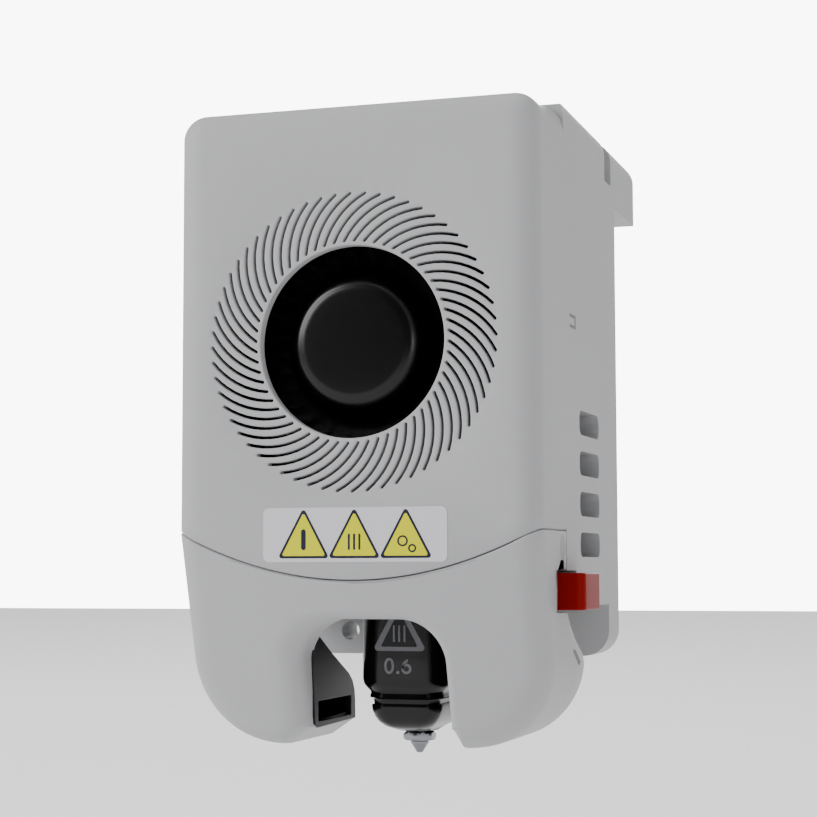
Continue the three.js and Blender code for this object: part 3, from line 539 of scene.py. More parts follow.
def coverSkin(depthIn, lift):
    # rows from the flat face round the front edge and back along the side, at a depth inside the skin
    c = case
    share, back = superQuarter(13, c["roundPower"])
    insets = [c["roundIn"] + 0.7] + list(depthIn + (c["roundIn"] - depthIn) * (1 - share))
    depths = [depthIn] + list(depthIn + (c["roundBack"] - depthIn) * back)
    last = c["coverBack"] - (0.0 if depthIn else c["backEdge"])
    sideDepths = [c["roundBack"] + 0.8, 8.0, 9.5, 11.2, 13.0, 15.0, 17.0, 19.0, last]
    insets += [depthIn] * len(sideDepths)
    depths += sideDepths
    rows = [coverOutline(i, lift) for i in insets]
    skin = np.stack([
        np.stack([row[:, 0], np.full(len(row), front + d), row[:, 1]], axis=-1)
        for row, d in zip(rows, depths)
    ])
    along = np.clip((skin[..., 1] - front - c["riseFrom"]) / (c["coverBack"] - c["riseFrom"]), 0, 1)
    share = np.clip((skin[..., 2] - c["riseLow"]) / (c["top"] - c["riseLow"]), 0, 1)
    skin[..., 2] += c["rise"] * along**1.5 * share
    return skin


def seamEdge(depthIn, lift):
    # the face's own stretch of the seam, from left to right
    h = case["half"] - case["roundIn"] - 0.7
    x = np.linspace(-h, h, 61)
    return np.stack([x, np.full(61, front + depthIn), seamZ(x) + case["seamGap"] + lift], axis=-1)


def fillLoops(loops):
    # constrained Delaunay triangulation inside the first loop, with every loop's edges kept
    starts = np.cumsum([0] + [len(loop) for loop in loops])
    points = np.vstack(loops)
    edges = []
    for loop, start in zip(loops, starts):
        k = np.arange(len(loop))
        edges += np.stack([start + k, start + (k + 1) % len(loop)], axis=-1).tolist()
    flat = [Vector(p) for p in points.tolist()]
    found = delaunay_2d_cdt(flat, edges, [list(range(len(loops[0])))], 1, 1e-7)
    made = np.array([tuple(v) for v in found[0]])
    return made, np.array(found[2]), found[3], starts, points


def faceTriangles(ring, seam, circle, holes):
    # the face filled, less the triangles that lie inside a hole
    outline = np.vstack([ring, seam[::-1][1:-1]])
    made, triangles, origin, starts, points = fillLoops([outline, circle, *holes])
    home = np.array([o[0] if o else -1 for o in origin])
    owner = np.searchsorted(starts, home, side="right") - 1
    centre = made[triangles].mean(axis=1)
    tri = owner[triangles]
    alike = (tri == tri[:, :1]).all(axis=1)
    hole = tri[:, 0] - 2
    turns = np.radians(-(slits["first"] + 360 / slits["count"] * hole))
    arcCentre = slits["centre"] * np.stack([-np.sin(turns), np.cos(turns)], axis=-1)
    off = np.abs(np.linalg.norm(centre - arcCentre, axis=1) - slits["arc"])
    inSlit = alike & (hole >= 0) & (off < slits["half"] + case["edge"])
    inCircle = alike & (tri[:, 0] == 1)
    return home[triangles[~(inSlit | inCircle)]], points


def makeCover():
    c = case
    outer, mid, inner = coverSkin(0.0, c["edge"]), coverSkin(c["edge"], 0.0), coverSkin(c["wall"], 0.0)
    circleAngle = np.linspace(0, 2 * np.pi, slits["openSides"], endpoint=False)
    unit = np.stack([np.sin(circleAngle), np.cos(circleAngle)], axis=-1)
    # hole walls: how much wider than the hole, and how deep
    rings = [(c["edge"], 0.0), (c["edge"] * 0.3, c["edge"] * 0.3), (0.0, c["edge"]), (0.0, c["wall"])]
    flat = lambda p: p[:, [0, 2]]
    opening = unit * (slits["open"] + c["edge"])
    triangles, points = faceTriangles(
        flat(outer[0]), flat(seamEdge(0.0, c["edge"])), opening, slitLoops(c["edge"])
    )
    backRing = np.vstack([
        flat(inner[0]), flat(seamEdge(c["wall"], 0.0))[::-1][1:-1],
        unit * slits["open"], slitLoops(0.0).reshape(-1, 2),
    ])
    place = lambda p, d: np.stack([p[:, 0], np.full(len(p), front + d), p[:, 1]], axis=-1)
    patches = [
        (place(points, 0.0), triangles.tolist()),
        (place(backRing, c["wall"]), triangles.tolist()),
        gridPatch(outer),
        gridPatch(inner),
        gridPatch(np.stack([outer[-1], mid[-1], inner[-1]])),
    ]
    border = [
        np.vstack([skin[::-1, 0], seamEdge(d, lift)[1:-1], skin[:, -1]])
        for skin, d, lift in ((outer, 0.0, c["edge"]), (mid, c["edge"], 0.0), (inner, c["wall"], 0.0))
    ]
    patches.append(gridPatch(np.stack(border)))
    patches.append(gridPatch(np.stack([place(unit * (slits["open"] + g), d) for g, d in rings]), wrap=True))
    walls = np.stack([
        np.stack([p[..., 0], np.full(p.shape[:2], front + d), p[..., 1]], axis=-1)
        for p, d in ((slitLoops(g), d) for g, d in rings)
    ], axis=1)
    for wallRings in walls:
        patches.append(gridPatch(wallRings, wrap=True))
    piece = makePiece("cover_shell", patches, materials["grey_plastic"], sharp=50)
    return stands(piece, "head", "grey_plastic", "front_cover")


makeCover()
print("cover built")

shroud = {
    "slope": 0.30,  # the chin leans back this much for each mm below the seam
    "legCentre": 17.0,  # the legs' outer corners are quarter ellipses about this x
    "sideEnd": -54.5,
    "bottom": -70.1,
    "roundIn": 4.6,
    "roundBack": 4.2,
    "roundPower": 2.2,
    "archLeft": -17.0, "archRight": 16.7, "archTop": -45.75, "archCorner": 10.6,
    "wallLeft": -11.3, "wallRight": 15.1, "wallTop": -47.75, "wallCorner": 7.6,
    "wallBack": 12.0,
    "archPoints": (24, 24, 43),  # on each leg, each corner and the top
    "legEnd": -66.0,
    "wall": 1.7,
}


def chinY(points):
    # the front leans back below the seam, so the seam is a soft crease
    drop = np.maximum(seamZ(points[..., 0]) - case["seamGap"] - points[..., 1], 0)
    return front + shroud["slope"] * drop


def archPath(left, right, top, corner, end):
    leg, arc, over = shroud["archPoints"]
    return np.vstack([
        linePoints((left, end), (left, top - corner), leg),
        arcPoints(left + corner, top - corner, corner, 180, 90, arc)[1:],
        linePoints((left + corner, top), (right - corner, top), over)[1:],
        arcPoints(right - corner, top - corner, corner, 90, 0, arc)[1:],
        linePoints((right, top - corner), (right, end), leg)[1:],
    ])


def sidePath(inset):
    # up the right-hand side, from the leg's inner bottom corner round the quarter ellipse to the seam
    s = shroud
    a, b = case["half"] - inset - s["legCentre"], s["sideEnd"] - (s["bottom"] + inset)
    angle = np.radians(np.linspace(-90, 0, 24))
    power = 2 / 2.1
    bend = np.stack([
        s["legCentre"] + a * np.cos(angle) ** power,
        s["sideEnd"] - b * np.abs(np.sin(angle)) ** power,
    ], axis=-1)
    h = case["half"] - inset
    steps = np.array([-51.9, -49.3, -46.75, -46.6, -43.0, -39.5, -39.35, -36.0])
    up = np.stack([np.full(len(steps), h), steps], axis=-1)
    return np.vstack([bend, up, [[h, seamZ(h) - case["seamGap"]]]])


def rearDepth(points, tabSide):
    # the shroud's rear edge: straight, then sloping back to the legs, with a gap for the cutter tab
    z = points[:, 1]
    depth = np.interp(-z, [46.6, 46.75, 49.3, 51.9, 55.0, 56.8], [20.4, 20.6, 23.4, 27.3, 33.8, 34.6])
    gap = (z <= -39.5) & (z >= -46.6)
    return np.where(gap & tabSide, 13.2, depth)


def makeShroud():
    s = shroud
    sideOut, sideIn = sidePath(0.0), sidePath(s["roundIn"])
    wallPath = archPath(s["wallLeft"], s["wallRight"], s["wallTop"], s["wallCorner"], s["legEnd"] - 0.6)
    archEdge = archPath(s["archLeft"], s["archRight"], s["archTop"], s["archCorner"], s["legEnd"])
    # corner of each leg: flat facets between the bottom and the arch wall
    cornerOut = np.array([[-s["legCentre"] + 1.3, s["bottom"] + 0.1], [s["wallLeft"], s["legEnd"] - 1.0]])
    cornerRight = np.array([[s["wallRight"], s["legEnd"] - 1.0], [s["legCentre"] - 0.4, s["bottom"] + 0.1]])
    leftOut, leftIn = sideOut[::-1] * (-1, 1), sideIn[::-1] * (-1, 1)
    outerPath = np.vstack([leftOut, cornerOut, wallPath, cornerRight, sideOut])
    insetPath = np.vstack([
        leftIn, np.repeat(archEdge[:1], 2, axis=0), archEdge, np.repeat(archEdge[-1:], 2, axis=0), sideIn,
    ])
    insetPath[len(leftIn) - 1] = archEdge[0]
    insetPath[len(insetPath) - len(sideIn)] = archEdge[-1]
    count = len(outerPath)
    place = np.arange(count)
    inArch = (place >= len(leftOut) + 2) & (place < count - len(sideOut) - 2)
    # how far back the rounding runs: wide on the left of the arch, tight on its right
    reach = np.linalg.norm(outerPath - insetPath, axis=1)
    depthRound = np.where(inArch, np.clip(reach * 0.8, 1.8, 4.0), s["roundBack"])
    share, back = superQuarter(12, s["roundPower"])
    rows = []
    for outwards, backwards in zip(share, back):
        path = insetPath + (outerPath - insetPath) * outwards
        rows.append(np.stack([path[:, 0], chinY(path) + depthRound * backwards, path[:, 1]], axis=-1))
    start = rows[-1][:, 1]
    side = rearDepth(outerPath, outerPath[:, 0] > 0)
    end = front + np.where(inArch, s["wallBack"], side)
    end = np.maximum(end, start + 0.6)
    for t in (0.06, 0.35, 0.7, 1.0):
        rows.append(np.stack([outerPath[:, 0], start + (end - start) * t, outerPath[:, 1]], axis=-1))
    band = np.stack(rows)
    # front: ruled between the arch's edge and the line made of leg, side and seam
    across = linePoints((-1, 0), (1, 0), 71)[:, 0] * abs(sideIn[-1, 0])
    seam = np.stack([across, seamZ(across) - case["seamGap"]], axis=-1)
    far = np.vstack([leftIn[::-1][:-1], seam, sideIn[::-1][1:]])
    far[0], far[-1] = archEdge[0], archEdge[-1]
    steps = np.array([0, 0.03, 0.1, 0.2, 0.32, 0.45, 0.58, 0.7, 0.82, 0.92, 0.975, 1.0])[:, None, None]
    flat = archEdge[None] * (1 - steps) + far[None] * steps
    face = np.stack([flat[..., 0], chinY(flat), flat[..., 1]], axis=-1)
    return band, face


shroudBand, shroudFace = makeShroud()
shroudPiece = makePiece(
    "shroud_shell", [gridPatch(shroudBand), gridPatch(shroudFace)], materials["grey_plastic"],
    sharp=34, outwards=(0, -40, -45),
)
shell = shroudPiece.modifiers.new("wall", "SOLIDIFY")
shell.thickness = shroud["wall"] * mm
shell.offset = -1
roundEdges(shroudPiece, 0.14, angle=62)
stands(shroudPiece, "head", "grey_plastic", "lower_shroud")
print("shroud built")


wheel = {
    "sides": 128, "blades": 31, "bladeInner": 17.6, "bladeOuter": 24.4, "bladeLean": 38.0,
}


def makeWheel():
    knots = [
        [9.4, 1.6], [10.5, 1.95], [11.35, 2.9], [11.85, 4.3], [12.15, 5.9], [12.9, 7.6],
        [14.3, 8.8], [16.3, 9.35],
    ]
    outer = smoothProfile(knots, 56)
    face = np.vstack([[[0.001, 1.45], [3.0, 1.46], [6.5, 1.5], [8.8, 1.56]], outer])
    back = [
        [20.5, 9.55], [24.8, 9.6], [24.8, 10.8], [16.5, 10.4], [12.3, 10.4], [12.3, 13.6], [10.95, 13.6],
        [10.95, 3.6], [2.4, 3.6], [2.4, 5.6], [1.02, 5.6], [1.02, 3.0], [0.001, 3.0],
    ]
    profile = np.vstack([face, back]) + (0, front)
    patches = [gridPatch(lathe(profile, wheel["sides"], 0, 0), wrap=True)]
    ring = np.array([[23.9, 3.6], [24.9, 3.6], [24.9, 4.8], [23.9, 4.8], [23.9, 3.6]]) + (0, front)
    patches.append(gridPatch(lathe(ring, wheel["sides"], 0, 0), wrap=True))
    # curved blades: an arc in the plane of the wheel, carried back from the rim ring to the disc
    r = np.linspace(wheel["bladeInner"], wheel["bladeOuter"], 7)
    swing = np.radians(wheel["bladeLean"]) * ((r - r[0]) / (r[-1] - r[0])) ** 1.3
    for i in range(wheel["blades"]):
        angle = 2 * np.pi * i / wheel["blades"] + swing * 0.35
        half = 0.32 / r
        sides = []
        for off in (-half, half):
            x, z = r * np.sin(angle + off), r * np.cos(angle + off)
            sides.append([np.stack([x, np.full(7, front + d), z], axis=-1) for d in (4.2, 9.7)])
        loop = np.stack([sides[0][0], sides[1][0], sides[1][1], sides[0][1], sides[0][0]])
        patches.append(gridPatch(loop))
        for end in (0, -1):
            patches.append((loop[:4, end], [[0, 1, 2, 3]]))
    return makePiece("blower_wheel", patches, materials["black_gloss"], sharp=35)


stands(makeWheel(), "impeller", "black_gloss", "fan_impeller")
print("wheel built")


def markPatches(loops, lay, lift, thickness):
    # the first loop filled, less the other loops, with a thin rim; lay maps x and z to y on the surface
    made, triangles = fillLoops(loops)[:2]
    centre = made[triangles].mean(axis=1)
    keep = np.ones(len(triangles), bool)
    for loop in loops[1:]:
        keep &= ~insideLoop(centre, loop)
    at = lambda depth: np.stack([made[:, 0], lay(made[:, 0], made[:, 1]) - depth, made[:, 1]], axis=-1)
    patches = [(at(lift + thickness), triangles[keep].tolist()), (at(lift), triangles[keep].tolist())]
    for loop in loops:
        y = lay(loop[:, 0], loop[:, 1])
        wall = [np.stack([loop[:, 0], y - d, loop[:, 1]], axis=-1) for d in (lift, lift + thickness)]
        patches.append(gridPatch(np.stack(wall), wrap=True))
    return patches


def insideLoop(points, loop):
    # even-odd rule: count the loop's edges that a ray to the right crosses
    x, z = points[:, :1], points[:, 1:]
    a, b = loop[None], np.roll(loop, -1, axis=0)[None]
    crosses = (a[..., 1] > z) != (b[..., 1] > z)
    slope = np.where(crosses, b[..., 1] - a[..., 1], 1.0)
    reach = a[..., 0] + (z - a[..., 1]) * (b[..., 0] - a[..., 0]) / slope
    return (crosses & (x < reach)).sum(axis=1) % 2 == 1


def roundedTriangle(cx, base, width, height, radius, count=8, perSide=6):
    # equal-sided look: arcs at the three corners, joined by straight sides
    corners = np.array([[cx - width / 2, base], [cx + width / 2, base], [cx, base + height]])
    loop = []
    for i in range(3):
        a, b, c = corners[i - 1], corners[i], corners[(i + 1) % 3]
        u, v = (a - b) / np.linalg.norm(a - b), (c - b) / np.linalg.norm(c - b)
        half = math.acos(np.clip(u @ v, -1, 1)) / 2
        middle = b + (u + v) / np.linalg.norm(u + v) * radius / math.sin(half)
        start = b + u * radius / math.tan(half) - middle
        end = b + v * radius / math.tan(half) - middle
        a0, a1 = math.atan2(start[1], start[0]), math.atan2(end[1], end[0])
        if a1 < a0:
            a1 += 2 * math.pi
        angle = np.linspace(a0, a1, count)
        loop.append(middle + radius * np.stack([np.cos(angle), np.sin(angle)], axis=-1))
    full = []
    for i in range(3):
        full.append(loop[i])
        full.append(linePoints(loop[i][-1], loop[(i + 1) % 3][0], perSide + 2)[1:-1])
    return np.vstack(full)


def roundBar(cx, low, high, width, count=8):
    # upright bar with half-round ends
    r = width / 2
    return np.vstack([
        arcPoints(cx, high - r, r, 0, 180, count),
        arcPoints(cx, low + r, r, 180, 360, count),
    ])


def ringLoop(cx, cz, rx, rz, count=28):
    angle = np.linspace(0, 2 * np.pi, count, endpoint=False)
    return np.stack([cx + rx * np.cos(angle), cz + rz * np.sin(angle)], axis=-1)


def roundedBox(x0, x1, z0, z1, r, count=8):
    return np.vstack([
        arcPoints(x1 - r, z0 + r, r, -90, 0, count), arcPoints(x1 - r, z1 - r, r, 0, 90, count),
        arcPoints(x0 + r, z1 - r, r, 90, 180, count), arcPoints(x0 + r, z0 + r, r, 180, 270, count),
    ])


label = {
    "left": -16.05, "right": 17.18, "low": -37.94, "high": -28.6, "corner": 1.1,
    "firstSign": -8.6, "pitch": 9.23, "base": -37.3, "width": 9.5, "height": 8.75, "line": 0.4,
}


def makeLabel():
    p = label
    flat = lambda x, z: np.full(np.shape(x), front - 0.01)
    outline = roundedBox(p["left"], p["right"], p["low"], p["high"], p["corner"])
    film = markPatches([outline], flat, 0.0, 0.08)
    stands(makePiece("label_film", film, materials["label_film"]), "head", "label_film", "label_plate")
    yellow, dark = [], []
    for i in range(3):
        cx = p["firstSign"] + i * p["pitch"]
        outer = roundedTriangle(cx, p["base"], p["width"], p["height"], 0.45)
        t = p["line"]
        inner = roundedTriangle(cx, p["base"] + t, p["width"] - 3.5 * t, p["height"] - 3.05 * t, 0.3)
        dark += markPatches([outer, inner], flat, 0.075, 0.03)
        yellow += markPatches([inner], flat, 0.075, 0.02)
        # plain marks: one bar, three bars, two rings
        if i == 0:
            bar = roundBar(cx, p["base"] + 1.4, p["base"] + 5.0, 0.85)
            dark += markPatches([bar], flat, 0.09, 0.025)
        if i == 1:
            for off in (-0.95, 0.0, 0.95):
                bar = roundBar(cx + off, p["base"] + 1.4, p["base"] + 4.2, 0.36)
                dark += markPatches([bar], flat, 0.09, 0.025)
        if i == 2:
            for off, up, r in ((-0.55, 2.9, 0.95), (1.15, 1.65, 0.72)):
                rings = [ringLoop(cx + off, p["base"] + up, size, size) for size in (r, r - 0.3)]
                dark += markPatches(rings, flat, 0.09, 0.025)
    prints = (("label_signs", yellow, "print_yellow"), ("label_lines", dark, "print_dark"))
    for name, patches, look in prints:
        stands(makePiece(name, patches, materials[look]), "head", "label_film")


makeLabel()
print("label built")


sleeve = {
    "x": 2.5, "y": front + 31.5, "halfX": 8.3, "halfY": 12.3, "corner": 5.0, "hole": 3.25, "count": 14,
    # z, and how far the wall stands in from the widest outline
    "profile": [
        (-45.5, 0.0), (-50.0, 0.0), (-55.0, 0.0), (-58.9, 0.02), (-59.8, 0.22), (-60.5, 0.75), (-61.1, 1.35),
        (-61.45, 1.5), (-61.8, 1.35), (-62.25, 1.3), (-62.42, 1.75), (-62.6, 1.95), (-63.35, 2.05),
        (-63.5, 1.7), (-63.75, 1.62), (-64.6, 1.75), (-65.6, 2.15), (-66.6, 2.8), (-67.5, 3.7),
        (-68.15, 4.7), (-68.55, 5.9), (-68.7, 7.2), (-68.7, 8.2),
    ],
}


def sectionAt(z, inset):
    # rounded rectangle that turns into the round hole as the inset grows
    s = sleeve
    t = np.clip((inset - 4.0) / 4.2, 0, 1)
    hx = max((s["halfX"] - inset) * (1 - t) + s["hole"] * t, s["hole"])
    hy = max((s["halfY"] - inset) * (1 - t) + s["hole"] * t, s["hole"])
    r = min(max(s["corner"] - inset, 2.4) * (1 - t) + s["hole"] * t, hx - 0.001, hy - 0.001)
    k = s["count"]
    turn = [
        arcPoints(hx - r, hy - r, r, 0, 90, k), linePoints((hx - r, hy), (r - hx, hy), 6)[1:-1],
        arcPoints(r - hx, hy - r, r, 90, 180, k), linePoints((-hx, hy - r), (-hx, r - hy), 8)[1:-1],
        arcPoints(r - hx, r - hy, r, 180, 270, k), linePoints((r - hx, -hy), (hx - r, -hy), 6)[1:-1],
        arcPoints(hx - r, r - hy, r, 270, 360, k), linePoints((hx, r - hy), (hx, hy - r), 8)[1:-1],
    ]
    flat = np.vstack(turn) + (s["x"], s["y"])
    return np.stack([flat[:, 0], flat[:, 1], np.full(len(flat), z)], axis=-1)


def makeSleeve():
    rows = [sectionAt(z, inset) for z, inset in sleeve["profile"]]
    hollow = ((-60.0, 8.2), (-60.0, 4.4), (-58.0, 2.6), (-45.5, 2.6), (-45.5, 0.0))
    inner = [sectionAt(z, inset) for z, inset in hollow]
    patch = gridPatch(np.stack(rows + inner), wrap=True)
    return makePiece("hotend_cover", [patch], materials["silicone"], sharp=48)


def sleeveFront(x, z):
    # depth of the sleeve's front, with its rounded vertical edges
    s = sleeve
    over = np.maximum(np.abs(x - s["x"]) - (s["halfX"] - s["corner"]), 0)
    return s["y"] - s["halfY"] + s["corner"] - np.sqrt(np.maximum(s["corner"] ** 2 - over**2, 0.0))


def makeSleeveMarks():
    cx, base = sleeve["x"], -53.8
    outer = roundedTriangle(cx, base, 10.2, 9.2, 0.6)
    inner = roundedTriangle(cx, base + 0.75, 10.2 - 3.2, 9.2 - 2.7, 0.25)
    patches = markPatches([outer, inner], sleeveFront, 0.0, 0.06)
    for off in (-1.0, 0.0, 1.0):
        patches += markPatches([roundBar(cx + off, base + 1.6, base + 4.6, 0.34)], sleeveFront, 0.0, 0.06)
    # size figure: a nought, a point and a six
    zero = [ringLoop(cx - 1.9, -56.45, 0.95, 1.45), ringLoop(cx - 1.9, -56.45, 0.48, 0.98)]
    point = [ringLoop(cx - 0.25, -57.6, 0.3, 0.3)]
    six = [ringLoop(cx + 1.35, -56.95, 0.95, 0.95), ringLoop(cx + 1.35, -56.95, 0.48, 0.48)]
    stem = np.vstack([
        arcPoints(cx + 2.2, -56.9, 1.8, 180, 112, 8), arcPoints(cx + 2.2, -56.9, 1.33, 112, 180, 8),
    ])
    for loops in (zero, point, six, [stem]):
        patches += markPatches(loops, sleeveFront, 0.0, 0.06)
    return makePiece("hotend_marks", patches, materials["print_grey"])


stands(makeSleeve(), "head", "silicone", "hotend_sleeve")
stands(makeSleeveMarks(), "head", "silicone")


def makeNozzle():
    # turned tip, hexagon with chamfered corners, and the thread above it
    x, y = sleeve["x"], sleeve["y"]
    tip = [
        [0.22, -72.1], [0.2, -72.72], [0.3, -72.8], [0.52, -72.78], [0.62, -72.66], [1.55, -71.2],
        [1.68, -71.0], [1.7, -70.75], [1.62, -70.62], [2.2, -70.56], [2.25, -70.55],
    ]
    upper = [[2.3, -64.3], [1.9, -64.2], [1.9, -60.0], [1.0, -60.0], [1.0, -71.0], [0.22, -72.1]]
    patches = [gridPatch(latheZ(profile, 64, x, y), wrap=True) for profile in (tip, upper)]
    angle = np.linspace(0, 2 * np.pi, 64, endpoint=False)
    fold = (angle + np.pi / 6) % (np.pi / 3) - np.pi / 6
    hexagon = 2.72 / np.cos(fold)
    rows = []
    caps = (
        (-70.55, 2.25), (-70.5, 2.72), (-70.3, 2.9), (-69.9, 3.2), (-69.4, 3.2),
        (-69.15, 2.95), (-69.0, 2.72), (-68.8, 2.45), (-64.5, 2.45), (-64.3, 2.3),
    )
    for z, cap in caps:
        r = np.minimum(hexagon, cap)
        rows.append(np.stack([x + r * np.cos(angle), y + r * np.sin(angle), np.full(64, z)], axis=-1))
    patches.append(gridPatch(np.stack(rows), wrap=True))
    return makePiece("nozzle_turned", patches, materials["steel"], sharp=28)


stands(makeNozzle(), "head", "steel", "nozzle")
print("hotend built")


softEdges = {
    "cutter_button": ("cutter", 0.5, 3),
    "air_splitter": ("head", 0.3, 2),
    "mid_frame": ("head", 0.25, 2), "blower_scroll": ("head", 0.25, 2),
    "inlet_fitting": ("head", 0.2, 2), "inlet_collet": ("collet", 0.2, 2),
    "main_connector": ("head", 0.25, 2), "toolhead_board": ("head", 0.12, 1),
    "extruder_body": ("head", 0.25, 2), "motor_housing": ("head", 0.4, 2),
    "idler_arm": ("idler_lever", 0.2, 2), "hotend_bracket": ("head", 0.2, 2),
    "heater_block": ("head", 0.2, 2), "cutter_guide": ("head", 0.2, 2),
}
for nodeName, (body, width, segments) in softEdges.items():
    softened(nodeName, body, width, segments)
print("softened:", len(softEdges))


housing = {"front": 20.7, "round": 0.5, "seamShare": 0.04, "topHigh": 41.0, "sideFar": 32.5}


def makeHousing():
    # the rear housing with rounded edges, all but sharp where it meets the cover
    h = housing
    mesh, shape = mergedCopy("rear_housing")
    weight = shape.edges.layers.float.new("bevel_weight_edge")
    seamY = (front + h["front"] + 0.05) * mm
    for edge in shape.edges:
        turned = edge.calc_face_angle(0.0) > math.radians(30)
        atSeam = max(v.co.y for v in edge.verts) < seamY
        outside = min(v.co.z for v in edge.verts) > h["topHigh"] * mm
        outside = outside or min(abs(v.co.x) for v in edge.verts) > h["sideFar"] * mm
        edge[weight] = (h["seamShare"] if atSeam and outside else 1.0) if turned else 0.0
    shape.to_mesh(mesh)
    shape.free()
    piece = finishPiece("housing_shell", mesh, materials["grey_plastic"], 40)
    bevel = piece.modifiers.new("edges", "BEVEL")
    bevel.width = h["round"] * mm
    bevel.segments = 3
    bevel.limit_method = "WEIGHT"
    bevel.use_clamp_overlap = True
    weighNormals(piece)
    return stands(piece, "head", "grey_plastic", "rear_housing")


makeHousing()

# dark panels behind the side vents, painted shade: black sheets standing for the shade inside the vents
panel = {"x": 28.4, "thick": 0.4, "front": 29.5, "back": 52.0, "low": -39.0, "high": -8.5}


def makeVentShadePanels():
    p = panel
    patches = []
    for side in (-1, 1):
        outline = roundedBox(p["front"] + front, p["back"] + front, p["low"], p["high"], 1.5)
        plate = markPatches([outline], onPlane, 0.0, p["thick"])
        patches += turnedToSide(plate, side * p["x"])
    return makePiece("vent_panels", patches, materials["black_plastic"])


def turnedToSide(patches, x):
    # patches drawn in x and z with their depth in y, turned to lie in a plane of constant x
    return [(np.stack([x - p[:, 1], p[:, 0], p[:, 2]], axis=-1), faces) for p, faces in patches]


def onPlane(y, z):
    # no depth of its own, for marks that stay flat
    return 0 * y


stands(makeVentShadePanels(), "head", "black_plastic")

# ducts: inner wall with its outlet, a hollow body and the chimney up to the blower
ducts = {
    "left": {"inner": -11.05, "deep": 12.0, "chimney": (-24.8, -12.6)},
    "right": {"inner": 15.5, "deep": 6.5, "chimney": (16.0, 24.8)},
    "wall": 1.2,
}


def ductOutline(grow):
    # side view of a duct: straight slope from the arch back to a rounded rear edge
    knots = np.array([
        [10.4 - grow, -48.9], [13.4, -50.4 + grow], [21.8, -54.5 + grow], [31.0, -58.5 + grow],
        [33.0 + grow * 0.6, -59.9 + grow * 0.8], [34.1 + grow, -61.7], [34.4 + grow, -63.2],
        [34.5 + grow, -67.0],
        [14.2, -67.3 - grow], [12.6 - grow, -66.6],
    ])
    knots[:, 0] += front
    return knots


def makeDucts():
    for side in ("left", "right"):
        d = ducts[side]
        way = 1 if side == "left" else -1
        outline, hollow = ductOutline(0.0), ductOutline(-ducts["wall"])
        window = roundedBox(front + 14.3, front + 31.9, -66.2, -62.6, 0.35)
        patches = turnedToSide(markPatches([outline, window], onPlane, 0.0, ducts["wall"]), 0)
        rim = markPatches([outline, hollow], onPlane, ducts["wall"], d["deep"])
        patches += turnedToSide(rim, 0)
        outside = markPatches([outline], onPlane, d["deep"] + ducts["wall"], ducts["wall"])
        patches += turnedToSide(outside, 0)
        # turned so that the depth runs outwards from the arch
        patches = [(p * (-way, 1, 1) + (d["inner"], 0, 0), f) for p, f in patches]
        x0, x1 = d["chimney"]
        wide = roundedBox(x0, x1, front + 9.2, front + 18.0, 1.0)
        slim = roundedBox(x0 + 1.2, x1 - 1.2, front + 10.4, front + 16.8, 0.6)
        tube = [np.stack([q[:, 0], q[:, 1], np.full(len(q), z)], axis=-1)
                for q, z in ((wide, -50.0), (wide, -38.0), (slim, -38.0), (slim, -50.0), (wide, -50.0))]
        patches.append(gridPatch(np.stack(tube), wrap=True))
        piece = makePiece("duct_" + side + "_shell", patches, materials["black_plastic"], sharp=30)
        roundEdges(piece, 0.12, angle=55)
        stands(piece, "head", "black_plastic", "duct_" + side)


makeDucts()

details = {
    "face": 33.0,
    # outlines in depth and height
    "notch": [
        (24.6, 4.1), (29.6, 4.1), (29.6, 6.6), (24.6, 6.6),
        (24.6, 6.0), (28.6, 6.0), (28.6, 4.7), (24.6, 4.7),
    ],
    "slot": [(25.2, -53.35), (27.1, -53.6), (31.1, -55.9), (29.9, -56.5), (25.1, -53.9)],
    "dimple": (17.7, -35.4, 2.2, 2.3),
}


def makeSideDetails():
    # moulded recesses, drawn as thin dark inlays that stand clear of the wall by a hair; their dark grey is
    # painted shade, standing for the shade inside the recesses
    d = details
    patches = []
    for side in (-1, 1):
        for key in ("notch", "slot"):
            outline = np.array(d[key]) + (front, 0)
            inlay = turnedToSide(markPatches([outline], onPlane, 0.0, 0.03), 0)
            patches += [(p * (side, 1, 1) + (side * (d["face"] - 0.02), 0, 0), f) for p, f in inlay]
    stands(makePiece("side_recesses", patches, materials["recess_grey"]), "head", "grey_plastic")
    # the dimple is a flat ring of painted shade, a hair clear of the right side
    y, z, ry, rz = d["dimple"]
    dimple = turnedToSide(markPatches([ringLoop(y + front, z, ry, rz)], onPlane, 0.0, 0.015), 0)
    dimple = [(p + (d["face"] - 0.005, 0, 0), f) for p, f in dimple]
    stands(makePiece("side_dimple", dimple, materials["dimple_grey"]), "head", "grey_plastic")


makeSideDetails()
print("housing, ducts and side details built")


studio = {
    "floor": -0.112, "floorSize": 6.0, "floorColour": (0.96, 0.96, 0.96),
    "dimWall": (0.02, 0.02, 0.02), "sideWall": (0.8, 0.8, 0.806), "backWall": (9.0, 9.0, 9.0),
    "sheetWay": (-0.299, 0.951, 0.083),  # towards the bright sheet behind the object
    # name: place in metres, size, watts
    "lamps": {
        "key": ((-1.5, -1.2, 0.9), 1.2, 44.0),
        "fill": ((1.5, -1.2, -0.1), 1.0, 11.0),
        "top": ((0.1, 0.1, 1.7), 1.4, 10.0),
    },
}


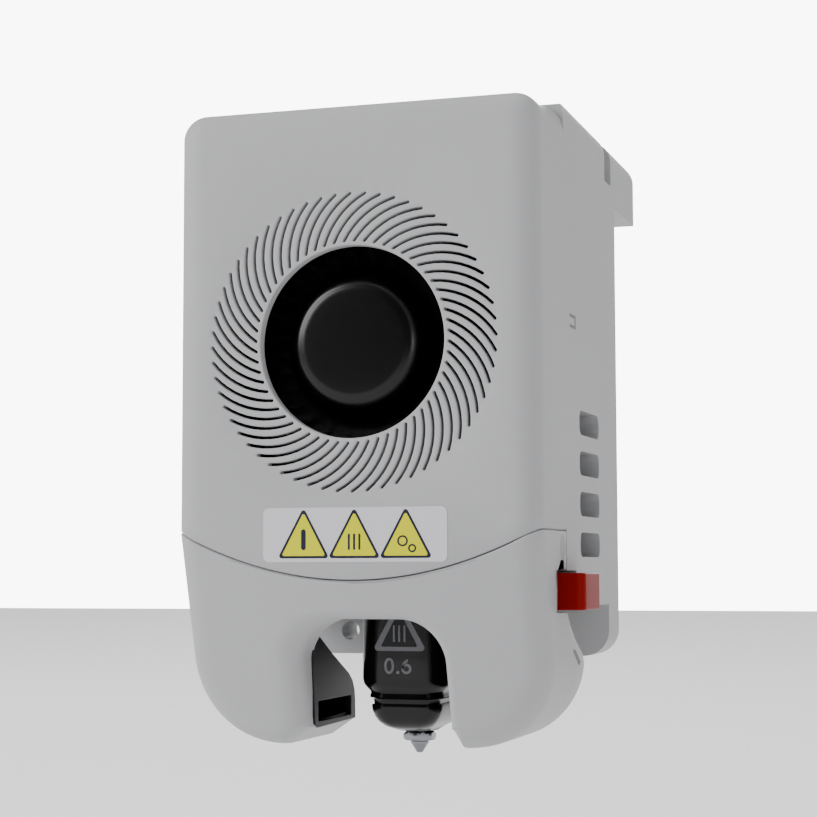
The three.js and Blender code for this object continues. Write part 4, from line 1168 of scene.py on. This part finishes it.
def makeFloor():
    half = studio["floorSize"] / 2
    mesh = bpy.data.meshes.new("floor")
    z = studio["floor"]
    corners = [(-half, -half, z), (half, -half, z), (half, half, z), (-half, half, z)]
    mesh.from_pydata(corners, [], [(0, 1, 2, 3)])
    floor = bpy.data.objects.new("floor", mesh)
    bpy.context.scene.collection.objects.link(floor)
    material, _, shader = startMaterial("floorPaint")
    shader.inputs["Base Color"].default_value = (*studio["floorColour"], 1)
    shader.inputs["Roughness"].default_value = 0.9
    mesh.materials.append(material)


def makeLights():
    world = bpy.data.worlds.new("studio")
    bpy.context.scene.world = world
    world.use_nodes = True
    # bright walls all round, with a dim one in front of the object
    tree = world.node_tree
    place = addNode(tree, "ShaderNodeTexCoord").outputs["Generated"]
    parts = addNode(tree, "ShaderNodeSeparateXYZ", {"Vector": place})
    share = addNode(
        tree, "ShaderNodeMapRange", {"Value": parts.outputs["Y"]}, {"interpolation_type": "SMOOTHSTEP"},
        From_Min=-0.95, From_Max=-0.45,
    )
    behind = addNode(tree, "ShaderNodeVectorMath", {0: place}, {"operation": "DOT_PRODUCT"})
    behind.inputs[1].default_value = studio["sheetWay"]
    rear = addNode(
        tree, "ShaderNodeMapRange", {"Value": behind.outputs["Value"]}, {"interpolation_type": "SMOOTHSTEP"},
        From_Min=0.9, From_Max=0.955,
    )
    shade = addNode(tree, "ShaderNodeMix", {"Factor": share.outputs["Result"]}, {"data_type": "RGBA"})
    shade.inputs[6].default_value = (*studio["dimWall"], 1)
    shade.inputs[7].default_value = (*studio["sideWall"], 1)
    full = addNode(tree, "ShaderNodeMix", {"Factor": rear.outputs["Result"]}, {"data_type": "RGBA"})
    tree.links.new(shade.outputs[2], full.inputs[6])
    full.inputs[7].default_value = (*studio["backWall"], 1)
    tree.links.new(full.outputs[2], tree.nodes["Background"].inputs["Color"])
    for name, (place, size, watts) in studio["lamps"].items():
        lamp = bpy.data.lights.new(name, "AREA")
        lamp.size = size
        lamp.energy = watts
        thing = bpy.data.objects.new(name, lamp)
        bpy.context.scene.collection.objects.link(thing)
        thing.location = place
        aim = Vector((0, -0.03, -0.01)) - Vector(place)
        thing.rotation_euler = aim.to_track_quat("-Z", "Y").to_euler()


makeFloor()
makeLights()
